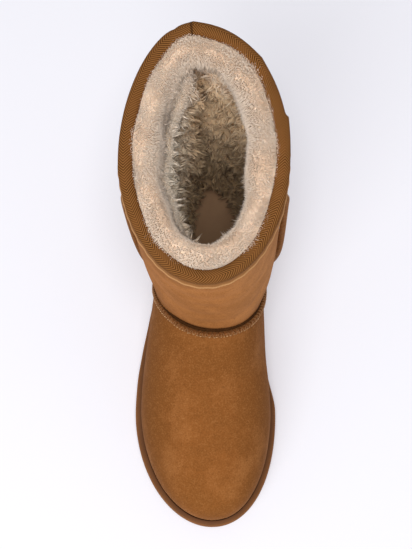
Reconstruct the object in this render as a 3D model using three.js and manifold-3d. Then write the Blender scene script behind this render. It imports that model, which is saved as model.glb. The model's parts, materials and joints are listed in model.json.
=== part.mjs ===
// A pull-on sheepskin boot for the right foot, in millimetres, +Z up, toe towards -Y, big toe towards +X.
// Every form is worked out in the last's own frame: u runs forward from the back of the sole, x towards the
// big-toe (medial) side, and z up from the floor. The upper is two lofts that meet at the throat seam: the
// foot, in upright sections from instep to toe, and the leg, in level rings from heel to collar.
import * as THREE from "three";
import { mergeVertices } from "three/addons/utils/BufferGeometryUtils.js";
import Module from "manifold-3d";

const wasm = await Module();
wasm.setup();

// Driving dimensions
const SOLE_LENGTH = 268;
const TOE_TIP_X = 4; // the toe leans to the big-toe side
const COLLAR_HEIGHT = 236;
const COLLAR_DROP = 3; // the front of the top line is this much lower than its middle
const SKIN = 2.6; // suede side of the sheepskin
const GAP = 0.3; // between pieces that touch
const RIM_HEIGHT = 3; // the sole's lip round the foot of the upper
const INSOLE_THICKNESS = 5;
const LUG_DEPTH = 2.2;
const SEAM_WIDTH = 5; // two skins edge to edge
const SIDE_SEAM_STAND = 3.8; // how far their raw edges stand out
const TAPE = 1; // binding tape

const SUEDE = "#95602f";
const SUEDE_EDGE = "#84532c";
const FLEECE = "#d9c5ae";
const BINDING = "#7b512c";
const SOLE = "#7d5026";
const INSOLE = "#8a684a";

// Facets
const FOOT_SECTIONS = 14;
const ARCH_SIDES = 14;
const RING_SIDES = 32;
const LEG_LEVELS = [6, 28, 46, 64, 82, 100, 120, 146, 176, 204, 222];

// Tables in the last's frame
const HEEL_ROUND = { u: 42, power: 2.2 };
const TOE_ROUND = { u: 186, lateralPower: 1.93, medialPower: 2.15 };
const soleEdge = [
  { u: 42, lateral: -36, medial: 36 },
  { u: 70, lateral: -36.2, medial: 33.8 },
  { u: 95, lateral: -37.8, medial: 32.2 },
  { u: 120, lateral: -42.4, medial: 34.4 },
  { u: 145, lateral: -47.4, medial: 40.8 },
  { u: 165, lateral: -50.4, medial: 46.8 },
  { u: 186, lateral: -51.5, medial: 50.8 },
];
const ground = [
  { u: 0, z: 4 },
  { u: 12, z: 0 },
  { u: 74, z: 0 },
  { u: 92, z: 3 },
  { u: 112, z: 3 },
  { u: 132, z: 0 },
  { u: 198, z: 0 },
  { u: 236, z: 3.6 },
  { u: 268, z: 10 },
];
const bed = [
  { u: 0, z: 21.5 },
  { u: 60, z: 20.5 },
  { u: 112, z: 17.5 },
  { u: 160, z: 14 },
  { u: 200, z: 13.5 },
  { u: 240, z: 17 },
  { u: 268, z: 22 },
];
// The foot: how far its widest line and the feather line at its bottom lie out from the sole's edge, the
// widest line's height, and the ridge along its top
const foot = [
  { u: 62, lateral: -6, medial: -3, feather: -8, wide: 58, ridgeX: 4, ridge: 150, power: 2 },
  { u: 100, lateral: -2.2, medial: 7.6, feather: -5.6, wide: 57, ridgeX: 6, ridge: 134, power: 2.05 },
  { u: 128, lateral: -4, medial: 5.4, feather: -5.6, wide: 52, ridgeX: 7, ridge: 120, power: 2.1 },
  { u: 148, lateral: -4.8, medial: 0.4, feather: -5.6, wide: 45, ridgeX: 7, ridge: 106, power: 2.1 },
  { u: 172, lateral: -4.9, medial: -3.4, feather: -5.6, wide: 37, ridgeX: 6, ridge: 90, power: 2.15 },
  { u: 200, lateral: -4.8, medial: -4.7, feather: -5.6, wide: 33, ridgeX: 4.5, ridge: 77, power: 2.25 },
  { u: 232, lateral: -4.4, medial: -4.4, feather: -5.4, wide: 33, ridgeX: TOE_TIP_X, ridge: 69, power: 2.35 },
  { u: 268, lateral: -4, medial: -4, feather: -5, wide: 38, ridgeX: TOE_TIP_X, ridge: 66, power: 2.4 },
];
const TOE_CAP = { u: 205, power: 2.3 }; // where the ridge starts to round down to the toe
// The leg: level rings from below the heel's seat to the collar
const leg = [
  { z: 6, back: 5, front: 126, lateral: -31, medial: 31.4, wide: 44, backX: 0, frontX: 0 },
  { z: 26, back: 4.8, front: 128, lateral: -31.4, medial: 31.8, wide: 45, backX: 0, frontX: 0 },
  { z: 52, back: 1.4, front: 135, lateral: -36.4, medial: 38, wide: 53, backX: 0, frontX: 3 },
  { z: 82, back: 1.2, front: 142, lateral: -41.2, medial: 43.8, wide: 63, backX: 0, frontX: 5 },
  { z: 112, back: 0, front: 143.5, lateral: -44.6, medial: 47.6, wide: 70, backX: -1, frontX: 6 },
  { z: 150, back: -4, front: 142, lateral: -47, medial: 47.5, wide: 69, backX: -3, frontX: 4 },
  { z: 195, back: -9.6, front: 140.8, lateral: -48.4, medial: 46.6, wide: 67, backX: -6.5, frontX: 1.5 },
  { z: 236, back: -12.6, front: 140.6, lateral: -48.8, medial: 46.3, wide: 66, backX: -9, frontX: 0 },
];
// How square each quarter of a level ring is: the soft collar has slumped at the back on the little-toe side
const legSquareness = [
  { z: 26, lateralRear: 2.2, medialRear: 2.2, lateralFore: 3, medialFore: 3 },
  { z: 60, lateralRear: 2.2, medialRear: 2.2, lateralFore: 2.5, medialFore: 2.5 },
  { z: 112, lateralRear: 2.1, medialRear: 2.15, lateralFore: 2.1, medialFore: 2.3 },
  { z: 160, lateralRear: 2, medialRear: 2.15, lateralFore: 2, medialFore: 2.2 },
  { z: 236, lateralRear: 1.8, medialRear: 2.12, lateralFore: 2, medialFore: 2 },
];
// How deep the fleece stands off the skin in the foot
const footFleece = [
  { u: 62, deep: 19 },
  { u: 84, deep: 12 },
  { u: 118, deep: 7 },
];
// How deep the fleece stands off the skin, up the leg, and how far it bunches to the little-toe side
const legFleece = [
  { z: 6, deep: 12, bunch: 3.6 },
  { z: 60, deep: 11, bunch: 3 },
  { z: 130, deep: 10.5, bunch: 1.5 },
  { z: 205, deep: 12.5, bunch: 0 },
  { z: 227.2, deep: 12, bunch: 0 },
  { z: 227.6, deep: 2.6, bunch: 0 },
  { z: 240, deep: 2.6, bunch: 0 },
];
// The sole's side, from the tread's edge up: steps, a groove and the rim
const soleSide = [
  { up: 0, out: -2.4 },
  { up: 0.14, out: -0.3 },
  { up: 0.3, out: 0 },
  { up: 0.37, out: -1.2 },
  { up: 0.46, out: 0 },
  { up: 0.92, out: 0 },
  { up: 1, out: -0.9 },
];

// Smooth values between the rows of a table, flat where two rows agree (monotone cubic)
function between(rows, key, column, at) {
  const last = rows.length - 1;
  if (at <= rows[0][key]) return rows[0][column];
  if (at >= rows[last][key]) return rows[last][column];
  const i = rows.findIndex((row) => row[key] > at) - 1;
  const slope = (k) => (rows[k + 1][column] - rows[k][column]) / (rows[k + 1][key] - rows[k][key]);
  const tangent = (k) => {
    if (k === 0 || k === last) return 0;
    const before = slope(k - 1);
    const after = slope(k);
    return before * after <= 0 ? 0 : (2 * before * after) / (before + after);
  };
  const span = rows[i + 1][key] - rows[i][key];
  const t = (at - rows[i][key]) / span;
  const rise = rows[i + 1][column] - rows[i][column];
  const eased = t * t * (3 - 2 * t);
  const pull = t * (1 - t) * ((1 - t) * tangent(i) - t * tangent(i + 1)) * span;
  return rows[i][column] + rise * eased + pull;
}

const superRound = (s, power) => Math.pow(Math.max(0, 1 - Math.pow(s, power)), 1 / power);

// The sole's outer edge on one side ("lateral" or "medial") at u
function soleX(side, u) {
  if (u < HEEL_ROUND.u) {
    return soleEdge[0][side] * superRound(1 - u / HEEL_ROUND.u, HEEL_ROUND.power);
  }
  if (u > TOE_ROUND.u) {
    const widest = soleEdge.at(-1)[side];
    const s = Math.min(1, (u - TOE_ROUND.u) / (SOLE_LENGTH - TOE_ROUND.u));
    return TOE_TIP_X + (widest - TOE_TIP_X) * superRound(s, TOE_ROUND[side + "Power"]);
  }
  return between(soleEdge, "u", side, u);
}

// Stations along the sole, close together where the heel and toe turn
function stations(from, to, count, roundStart, roundEnd) {
  return Array.from({ length: count + 1 }, (_, i) => {
    const t = i / count;
    const start = roundStart ? 1 - Math.cos((t * Math.PI) / 2) : t;
    const end = roundEnd ? Math.sin((t * Math.PI) / 2) : t;
    const both = (1 - Math.cos(t * Math.PI)) / 2;
    return from + (to - from) * (roundStart && roundEnd ? both : roundStart ? start : end);
  });
}

// A point out from the sole's edge at u, along the edge's own normal in plan
function edgePoint(side, u, out) {
  const way = side === "lateral" ? -1 : 1;
  if (u >= SOLE_LENGTH) return [TOE_TIP_X, SOLE_LENGTH + out];
  if (u <= 0) return [0, -out];
  const step = Math.min(0.05, u / 2, (SOLE_LENGTH - u) / 2);
  const lean = (soleX(side, u + step) - soleX(side, u - step)) / (2 * step);
  const size = Math.hypot(1, lean);
  return [soleX(side, u) + (way * out) / size, u - (way * lean * out) / size];
}

// Lofts and booleans

// A closed solid through rings of equal count; each end is closed across, left to right
function loft(rings) {
  const count = rings[0].length;
  const triangles = [];
  const quad = (a, b, c, d) => triangles.push(a, b, c, a, c, d);
  for (let i = 0; i + 1 < rings.length; i += 1) {
    for (let j = 0; j < count; j += 1) {
      const next = (j + 1) % count;
      quad(i * count + j, i * count + next, (i + 1) * count + next, (i + 1) * count + j);
    }
  }
  const top = (rings.length - 1) * count;
  for (let j = 0; 2 * j + 2 < count; j += 1) {
    const across = count - 1 - j;
    quad(j, across, across - 1, j + 1);
    quad(top + j, top + j + 1, top + across - 1, top + across);
  }
  const raw = new THREE.BufferGeometry();
  raw.setAttribute("position", new THREE.Float32BufferAttribute(rings.flat(2), 3));
  raw.setIndex(triangles);
  return solidFrom(raw);
}

// The manifold solid of a closed geometry, turned to face out
function solidFrom(geometry) {
  const bare = geometry.clone();
  bare.deleteAttribute("normal");
  bare.deleteAttribute("uv");
  const merged = mergeVertices(bare, 1e-3);
  const kept = [];
  const index = merged.index.array;
  for (let i = 0; i < index.length; i += 3) {
    const [a, b, c] = [index[i], index[i + 1], index[i + 2]];
    if (a !== b && b !== c && c !== a) kept.push(a, b, c);
  }
  const build = (triVerts) =>
    new wasm.Manifold(
      new wasm.Mesh({
        numProp: 3,
        vertProperties: merged.attributes.position.array,
        triVerts: new Uint32Array(triVerts),
      }),
    );
  const made = build(kept);
  return made.volume() > 0 ? made : build(kept.reverse());
}

const joined = (solids) => solids.reduce((a, b) => a.add(b));

// A solid that reaches across the boot, from an outline of [u, z] points seen from its side
function acrossSolid(outline, fromX, toX) {
  const shape = new THREE.Shape(outline.map(([u, z]) => new THREE.Vector2(u, z)));
  const raw = new THREE.ExtrudeGeometry(shape, { depth: toX - fromX, bevelEnabled: false });
  // the shape's x, y and depth become u, z and x
  raw.applyMatrix4(new THREE.Matrix4().set(0, 0, 1, fromX, 1, 0, 0, 0, 0, 1, 0, 0, 0, 0, 0, 1));
  return solidFrom(raw);
}

// Everything below a line a set height above the sole's bed
function belowBed(rise) {
  const REACH = 40;
  const line = stations(-REACH, SOLE_LENGTH + REACH, 30, false, false);
  const top = line.map((u) => [u, between(bed, "u", "z", u) + rise]);
  return acrossSolid([...top, [SOLE_LENGTH + REACH, -REACH], [-REACH, -REACH]], -90, 90);
}

// The foot's upright section at u, grown by out on every side, from one feather line over to the other
function footRing(u, out) {
  const WALL_STEPS = 3;
  const BELOW_BED = 6;
  const at = (column) => between(foot, "u", column, u);
  const low = between(bed, "u", "z", u) - BELOW_BED;
  const wide = at("wide");
  const s = Math.max(0, (u - TOE_CAP.u) / (SOLE_LENGTH - TOE_CAP.u));
  const rise = (at("ridge") + out - wide) * superRound(Math.min(1, s), TOE_CAP.power);
  const side = (name) => {
    const [fx, fu] = edgePoint(name, u, at("feather") + out);
    const [wx, wu] = edgePoint(name, u, at(name) + out);
    const wall = Array.from({ length: WALL_STEPS }, (_, i) => {
      const t = i / WALL_STEPS;
      const bulge = Math.sin((t * Math.PI) / 2);
      return [fx + (wx - fx) * bulge, fu + (wu - fu) * bulge, low + (wide - low) * t];
    });
    return { wall, wx, wu };
  };
  const left = side("lateral");
  const right = side("medial");
  const ridgeU = (left.wu + right.wu) / 2;
  const arch = Array.from({ length: ARCH_SIDES + 1 }, (_, i) => {
    const angle = (i / ARCH_SIDES) * Math.PI;
    const { wx, wu } = i * 2 < ARCH_SIDES ? left : right;
    const across = Math.pow(Math.abs(Math.cos(angle)), 2 / at("power"));
    const up = Math.pow(Math.sin(angle), 2 / at("power"));
    const x = at("ridgeX") + (wx - at("ridgeX")) * across;
    return [x, ridgeU + (wu - ridgeU) * across, wide + rise * up];
  });
  return [...left.wall, ...arch, ...right.wall.toReversed()];
}

// The foot from inside the leg to the toe, grown by a number or a function of u
function footForm(out) {
  const lines = stations(foot[0].u, SOLE_LENGTH, FOOT_SECTIONS, false, true);
  return loft(lines.map((u) => footRing(u, typeof out === "function" ? out(u) : out)));
}

// How square the leg's ring is at z, towards the back or front and the little or big toe
function legPower(z, rearward, side) {
  return between(legSquareness, "z", side + (rearward ? "Rear" : "Fore"), z);
}

// The leg's ring at height z, grown by out
function legRing(z, out, count = RING_SIDES) {
  const at = (column) => between(leg, "z", column, Math.min(z, COLLAR_HEIGHT));
  const droop = COLLAR_DROP * Math.pow(z / COLLAR_HEIGHT, 4);
  return Array.from({ length: count }, (_, i) => {
    const turn = ((i + 0.5) / count) * 2 * Math.PI;
    const rearward = Math.cos(turn) > 0;
    const power = legPower(z, rearward, Math.sin(turn) > 0 ? "lateral" : "medial");
    const along = Math.pow(Math.abs(Math.cos(turn)), 2 / power);
    const across = Math.pow(Math.abs(Math.sin(turn)), 2 / power);
    const apexU = rearward ? at("back") - out : at("front") + out;
    const apexX = at(rearward ? "backX" : "frontX");
    const sideX = Math.sin(turn) > 0 ? at("lateral") - out : at("medial") + out;
    const u = at("wide") + (apexU - at("wide")) * along;
    const x = apexX + (sideX - apexX) * across;
    return [x, u, z - (droop * (u - at("wide"))) / (at("front") - at("wide"))];
  });
}

// The leg up to a top height
function legForm(out, top) {
  const heights = [...LEG_LEVELS, COLLAR_HEIGHT].filter((z) => z < top);
  return loft([...heights, top].map((z) => legRing(z, out)));
}

// The whole outside, grown by out, for pieces that follow the skin
function bootForm(out, top = COLLAR_HEIGHT) {
  return footForm(out).add(legForm(out, top));
}

// Pieces

// One skin, open at the collar and underneath, where the sole closes it
function makeUpper() {
  const PAST_COLLAR = COLLAR_HEIGHT + 6;
  return bootForm(0).subtract(bootForm(-SKIN, PAST_COLLAR)).subtract(belowBed(GAP));
}

// The fleece stands off the inside of the skin, in tufts, with a thick roll of wool inside the binding
function makeFleece() {
  const skinSide = -SKIN - GAP;
  const levels = [6, 56, 118, 156, 190, 212, 227.2, 227.6, COLLAR_HEIGHT + 4];
  const footHollow = footForm((u) => skinSide - between(footFleece, "u", "deep", u));
  const hollow = footHollow.add(loft(levels.map((z) => woolRing(z, skinSide))));
  const sleeve = bootForm(skinSide, COLLAR_HEIGHT - GAP).subtract(hollow);
  const wool = sleeve.subtract(belowBed(GAP + INSOLE_THICKNESS + GAP)).add(joined(makeLocks(skinSide)));
  return wool.add(makeWoolRoll());
}

// The wool at the mouth swells into a roll that fills the binding nearly to its top
function makeWoolRoll() {
  const SIDES = 8;
  const ROLL = { halfWidth: 6.8, halfHeight: 7, rise: -5.4 };
  const nearBinding = -(SKIN + GAP + legFleece.at(-1).deep + GAP + TAPE) - GAP;
  const section = Array.from({ length: SIDES }, (_, i) => {
    const angle = ((i + 0.5) / SIDES) * 2 * Math.PI;
    const out = nearBinding - ROLL.halfWidth * (1 - Math.cos(angle));
    return [out, ROLL.rise + ROLL.halfHeight * Math.sin(angle)];
  });
  return tube(section.map(([out, up]) => legRing(COLLAR_HEIGHT + up, out)));
}

// The face of the fleece at height z
function woolRing(z, skinSide, count = RING_SIDES) {
  const at = (column) => between(legFleece, "z", column, z);
  return legRing(z, skinSide - at("deep"), count).map(([x, u, height]) => [x + at("bunch"), u, height]);
}

// Tapered locks of wool in staggered rows, pointing in and up from the fleece's face
function makeLocks(skinSide) {
  const LOCK = { length: 10, radius: 6, sides: 4, sunk: 4, lift: 0.35 };
  const ROWS = [206, 190];
  const PER_ROW = 15;
  return ROWS.flatMap((z, row) => {
    const ring = woolRing(z, skinSide, PER_ROW * 2);
    const middle = new THREE.Vector3(-1, between(leg, "z", "wide", z), z);
    return Array.from({ length: PER_ROW }, (_, i) => {
      const root = new THREE.Vector3(...ring[2 * i + (row % 2)]);
      const way = middle.clone().sub(root).normalize().setZ(LOCK.lift).normalize();
      const cone = new THREE.ConeGeometry(LOCK.radius, LOCK.length, LOCK.sides);
      cone.applyQuaternion(new THREE.Quaternion().setFromUnitVectors(new THREE.Vector3(0, 1, 0), way));
      cone.translate(...root.addScaledVector(way, LOCK.length / 2 - LOCK.sunk).toArray());
      return solidFrom(cone);
    });
  });
}

// The tape is folded over the top edge of skin and fleece: an upside-down channel
function makeBinding() {
  const ARC_STEPS = 4;
  const LEG = { outer: 11, inner: 8 };
  const inside = { from: GAP, to: -(SKIN + GAP + legFleece.at(-1).deep + GAP), rise: GAP + 0.6 };
  const outside = { from: inside.from + TAPE, to: inside.to - TAPE, rise: inside.rise + TAPE };
  const arc = (side) => {
    const half = (side.from - side.to) / 2;
    return Array.from({ length: ARC_STEPS + 1 }, (_, i) => {
      const angle = (i / ARC_STEPS) * Math.PI;
      return [side.to + half + half * Math.cos(angle), side.rise * Math.sin(angle)];
    });
  };
  const section = [
    [outside.from, -LEG.outer],
    ...arc(outside),
    [outside.to, -LEG.inner],
    [inside.to, -LEG.inner],
    ...arc(inside).toReversed(),
    [inside.from, -LEG.outer],
  ];
  return tube(section.map(([out, up]) => legRing(COLLAR_HEIGHT + up, out)));
}

// A ring-shaped solid: rings joined in order, and the last to the first
function tube(rings) {
  const count = rings[0].length;
  const triangles = [];
  rings.forEach((_, i) => {
    const after = (i + 1) % rings.length;
    for (let j = 0; j < count; j += 1) {
      const next = (j + 1) % count;
      const [a, b] = [i * count + j, i * count + next];
      const [c, d] = [after * count + next, after * count + j];
      triangles.push(a, b, c, a, c, d);
    }
  });
  const raw = new THREE.BufferGeometry();
  raw.setAttribute("position", new THREE.Float32BufferAttribute(rings.flat(2), 3));
  raw.setIndex(triangles);
  return solidFrom(raw);
}

function makeOutsole() {
  const lines = stations(0, SOLE_LENGTH, 32, true, true);
  const rings = lines.map((u) => {
    const low = between(ground, "u", "z", u) + LUG_DEPTH;
    const high = between(bed, "u", "z", u) + RIM_HEIGHT;
    const side = (name) => soleSide.map(({ up, out }) => {
      const [x, along] = edgePoint(name, u, out);
      return [x, along, low + (high - low) * up];
    });
    return [...side("lateral"), ...side("medial").toReversed()];
  });
  const seat = bootForm(GAP).subtract(belowBed(0));
  return loft(rings).add(makeTread()).subtract(seat);
}

// Bars across heel and forefoot in a shallow chevron, trimmed to the sole's outline
function makeTread() {
  const BAR = { length: 8, tall: 5, pitch: 12.5, slant: 0.16, split: 3, reach: 60 };
  const ZONES = [{ from: 13, to: 70 }, { from: 128, to: 252 }];
  const INSET = -5;
  const bars = ZONES.flatMap(({ from, to }) => {
    const count = Math.floor((to - from) / BAR.pitch) + 1;
    return Array.from({ length: count }, (_, i) => from + i * BAR.pitch);
  }).flatMap((u) => [-1, 1].map((way) => {
    const [start, end] = [u - BAR.length / 2, u + BAR.length / 2];
    const low = (at) => between(ground, "u", "z", at);
    const corners = [[start, 0], [end, 0], [end, BAR.tall], [start, BAR.tall]];
    const outline = corners.map(([at, up]) => [at, low(at) + up]);
    const ring = (x) => outline.map(([at, z]) => [way * x, at - BAR.slant * (x - BAR.split), z]);
    return loft([ring(BAR.split / 2), ring(BAR.reach)]);
  }));
  const lines = stations(0, SOLE_LENGTH, 18, true, true);
  const trim = loft(lines.map((u) => [-5, 20].flatMap((z) => {
    const [lx, lu] = edgePoint("lateral", u, INSET);
    const [mx, mu] = edgePoint("medial", u, INSET);
    return z < 0 ? [[lx, lu, z], [mx, mu, z]] : [[mx, mu, z], [lx, lu, z]];
  })));
  return joined(bars).intersect(trim);
}

function makeInsole() {
  const room = bootForm(-SKIN - GAP);
  return room.intersect(belowBed(GAP + INSOLE_THICKNESS)).subtract(belowBed(GAP));
}

// Whether a point of the foot's surface is inside the leg
function isInLeg([x, u, z]) {
  const at = (column) => between(leg, "z", column, z);
  const rearward = u < at("wide");
  const apexX = at(rearward ? "backX" : "frontX");
  const side = x < apexX ? "lateral" : "medial";
  const along = Math.abs((u - at("wide")) / (at(rearward ? "back" : "front") - at("wide")));
  const across = Math.abs((x - apexX) / (at(side) - apexX));
  const power = legPower(z, rearward, side);
  return Math.pow(along, power) + Math.pow(across, power) < 1;
}

// Where the foot's surface comes out of the leg, for a corner of its section
function creasePoint(corner) {
  let [inside, outside] = [foot[0].u, 175];
  while (outside - inside > 0.01) {
    const middle = (inside + outside) / 2;
    if (isInLeg(footRing(middle, 0)[corner])) inside = middle;
    else outside = middle;
  }
  return new THREE.Vector3(...footRing(inside, 0)[corner]);
}

// A blade along the crease between foot and leg, from the sole over the instep and down to the sole. It is
// sunk under the skin, and stands highest at the front
function throatBlade(width, sunk, beyond = 0) {
  const STAND = { lateral: 1.8, front: 7, medial: 4.2 };
  const path = footRing(100, 0).map((_, corner) => creasePoint(corner)).slice(1, -1);
  const last = path.length - 1;
  const core = new THREE.Vector3(3, 90, 40);
  return loft(path.map((point, i) => {
    const before = path[Math.max(0, i - 1)];
    const after = path[Math.min(last, i + 1)];
    const along = after.clone().sub(before).normalize();
    const out = point.clone().sub(core);
    out.addScaledVector(along, -out.dot(along)).normalize();
    const across = along.clone().cross(out);
    const aside = STAND[i * 2 < last ? "lateral" : "medial"];
    const stand = beyond + aside + (STAND.front - aside) * Math.sin((i / last) * Math.PI) ** 5;
    const corner = (side, up) =>
      point.clone().addScaledVector(across, (side * width) / 2).addScaledVector(out, up).toArray();
    return [corner(-1, -sunk), corner(-1, stand), corner(1, stand), corner(1, -sunk)];
  }));
}

// The throat seam: two raw edges standing out of the crease between foot and leg
function makeThroatSeam() {
  const SUNK = 4;
  return throatBlade(SEAM_WIDTH, SUNK).subtract(bootForm(GAP)).subtract(belowBed(RIM_HEIGHT + GAP));
}

// A side seam: two raw edges standing out of the leg, from the binding down to the throat seam
function makeSideSeam(name) {
  const SIDE_U = 88;
  const [TOP, LOW] = [COLLAR_HEIGHT - 13, 40];
  const [fromX, toX] = name === "lateral" ? [-70, -20] : [20, 70];
  const half = SEAM_WIDTH / 2;
  const outline = [[-half, LOW], [half, LOW], [half, TOP], [-half, TOP]].map(([du, z]) => [SIDE_U + du, z]);
  const shell = bootForm(GAP + SIDE_SEAM_STAND, TOP + 1).subtract(bootForm(GAP, TOP + 2));
  const strip = acrossSolid(outline, fromX, toX).intersect(shell);
  const CUT = { sunk: 12, beyond: 8 };
  const pieces = strip.subtract(throatBlade(SEAM_WIDTH + 2 * GAP, CUT.sunk, CUT.beyond)).decompose();
  return pieces.sort((a, b) => b.volume() - a.volume())[0];
}

// The boot

const boot = new THREE.Group();

function place(name, solid, colour, roughness) {
  const { numProp, vertProperties, triVerts } = solid.getMesh();
  const points = new Float32Array(triVerts.length * 3);
  triVerts.forEach((vertex, i) => {
    const at = vertex * numProp;
    // u runs to the toe, which is -Y
    points.set([vertProperties[at], -vertProperties[at + 1], vertProperties[at + 2]], i * 3);
  });
  for (let i = 0; i < points.length; i += 9) {
    const second = points.slice(i + 3, i + 6);
    points.copyWithin(i + 3, i + 6, i + 9);
    points.set(second, i + 6);
  }
  const raw = new THREE.BufferGeometry().setAttribute("position", new THREE.BufferAttribute(points, 3));
  const geometry = mergeVertices(raw, 1e-4);
  geometry.computeVertexNormals();
  const material = new THREE.MeshStandardMaterial({ color: colour, roughness, metalness: 0 });
  const mesh = new THREE.Mesh(geometry, material);
  mesh.name = name;
  boot.add(mesh);
}

place("outsole", makeOutsole(), SOLE, 0.8);
place("insole", makeInsole(), INSOLE, 0.9);
place("upper", makeUpper(), SUEDE, 0.95);
place("fleece_lining", makeFleece(), FLEECE, 1);
place("collar_binding", makeBinding(), BINDING, 0.9);
place("throat_seam", makeThroatSeam(), SUEDE_EDGE, 0.95);
place("lateral_seam", makeSideSeam("lateral"), SUEDE_EDGE, 0.95);
place("medial_seam", makeSideSeam("medial"), SUEDE_EDGE, 0.95);

// The origin is on the floor, under the middle of the boot's box
const box = new THREE.Box3().setFromObject(boot);
const middle = box.getCenter(new THREE.Vector3());
boot.position.set(-middle.x, -middle.y, -box.min.z);

export default boot;
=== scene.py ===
# %% [markdown]
# A sheepskin boot, dressed for the camera
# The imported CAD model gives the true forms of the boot: one hollow upper, a wool lining, a folded binding
# tape, raised seams, an insole and a foam sole. This lesson gives each of them the surface that the real
# one has. Lengths are in metres, the floor is z = 0, the toe points to -Y and the big toe to +X.

# %% Load the frame
from functools import partial
import json
import math
import bmesh
import bpy
import numpy as np
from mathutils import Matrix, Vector, noise
from mathutils.bvhtree import BVHTree

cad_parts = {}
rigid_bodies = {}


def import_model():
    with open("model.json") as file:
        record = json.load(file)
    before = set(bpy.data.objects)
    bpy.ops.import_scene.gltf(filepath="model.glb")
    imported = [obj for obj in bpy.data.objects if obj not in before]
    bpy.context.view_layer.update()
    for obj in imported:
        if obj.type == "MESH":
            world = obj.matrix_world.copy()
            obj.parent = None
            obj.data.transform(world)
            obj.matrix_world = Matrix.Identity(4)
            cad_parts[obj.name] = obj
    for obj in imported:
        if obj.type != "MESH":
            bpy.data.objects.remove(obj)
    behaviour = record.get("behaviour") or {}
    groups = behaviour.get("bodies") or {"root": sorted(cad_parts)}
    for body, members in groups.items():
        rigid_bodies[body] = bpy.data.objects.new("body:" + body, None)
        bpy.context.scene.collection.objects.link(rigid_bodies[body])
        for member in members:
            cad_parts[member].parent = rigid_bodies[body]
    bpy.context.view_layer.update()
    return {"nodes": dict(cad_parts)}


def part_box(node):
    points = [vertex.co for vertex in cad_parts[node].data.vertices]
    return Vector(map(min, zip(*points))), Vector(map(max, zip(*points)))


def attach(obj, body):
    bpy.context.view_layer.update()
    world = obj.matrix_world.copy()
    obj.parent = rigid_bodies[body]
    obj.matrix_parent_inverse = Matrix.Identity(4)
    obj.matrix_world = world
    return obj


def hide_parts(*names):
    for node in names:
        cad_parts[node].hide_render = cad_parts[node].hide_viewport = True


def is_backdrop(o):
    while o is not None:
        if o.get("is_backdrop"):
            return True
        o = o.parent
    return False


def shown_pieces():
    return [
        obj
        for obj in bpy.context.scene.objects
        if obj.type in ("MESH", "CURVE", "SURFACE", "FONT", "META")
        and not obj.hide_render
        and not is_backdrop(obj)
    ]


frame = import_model()
MM = 0.001
noise.seed_set(7)  # without it, noise vectors start from the clock and differ from run to run

# %% [markdown]
# Helpers for meshes
# Three jobs come up again and again. A modifier is applied, so that the mesh itself holds the shape. A rough
# mesh is eased, which means that each point moves towards the middle of its neighbours. And a flat grid is
# wrapped into a band or a ring, which suits tape, seams, thread and a sole's side alike, and gives each of
# them a UV map in real metres for its weave.

# %% Mesh helpers
def new_piece(name, mesh):
    piece = bpy.data.objects.new(name, mesh)
    bpy.context.scene.collection.objects.link(piece)
    return piece


def mesh_from(bm, name):
    mesh = bpy.data.meshes.new(name)
    bm.to_mesh(mesh)
    bm.free()
    return mesh


def apply_modifiers(piece):
    bpy.context.view_layer.update()
    dressed = piece.evaluated_get(bpy.context.evaluated_depsgraph_get())
    mesh = bpy.data.meshes.new_from_object(dressed)
    piece.modifiers.clear()
    piece.data = mesh
    return mesh


def voxel_remade(piece, size):
    voxels = piece.modifiers.new("even voxels", "REMESH")
    voxels.mode = "VOXEL"
    voxels.voxel_size = size
    return apply_modifiers(piece)


def numbers_of(items, key, width, kind=np.float32):
    """One property of all the items, as a table with this many columns"""
    flat = np.empty(len(items) * width, kind)
    items.foreach_get(key, flat)
    return flat.reshape(-1, width)


def points_of(mesh):
    return numbers_of(mesh.vertices, "co", 3).astype(float)


def normals_of(mesh):
    return numbers_of(mesh.vertex_normals, "vector", 3).astype(float)


def edges_of(mesh):
    return numbers_of(mesh.edges, "vertices", 2, np.int32)


def set_points(mesh, points):
    mesh.vertices.foreach_set("co", points.astype(np.float32).ravel())
    mesh.update()


def keep_values(mesh, name, values):
    """Keeps one number on each point, for a finish or for the locks to read"""
    layer = mesh.attributes.new(name, "FLOAT", "POINT")
    layer.data.foreach_set("value", values.astype(np.float32))


def neighbour_mean(points, edges):
    one, other = edges[:, 0], edges[:, 1]
    total = np.zeros_like(points)
    for axis in range(points.shape[1]):
        total[:, axis] = np.bincount(one, points[other, axis], len(points))
        total[:, axis] += np.bincount(other, points[one, axis], len(points))
    count = np.bincount(edges.ravel(), minlength=len(points))
    alone = count == 0
    total[alone] = points[alone]
    return total / np.maximum(count, 1)[:, None]


def eased(points, edges, rounds):
    """Rounds off what is small and keeps what is large: the second pass gives back what the first shrank"""
    def low(values):
        for _ in range(rounds):
            values = values + 0.5 * (neighbour_mean(values, edges) - values)
        return values
    once = low(points)
    return once + low(points - once)


def smooth_shaded(mesh, angle=None):
    mesh.shade_smooth()
    if angle:
        mesh.set_sharp_from_angle(angle=math.radians(angle))
    return mesh


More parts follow.
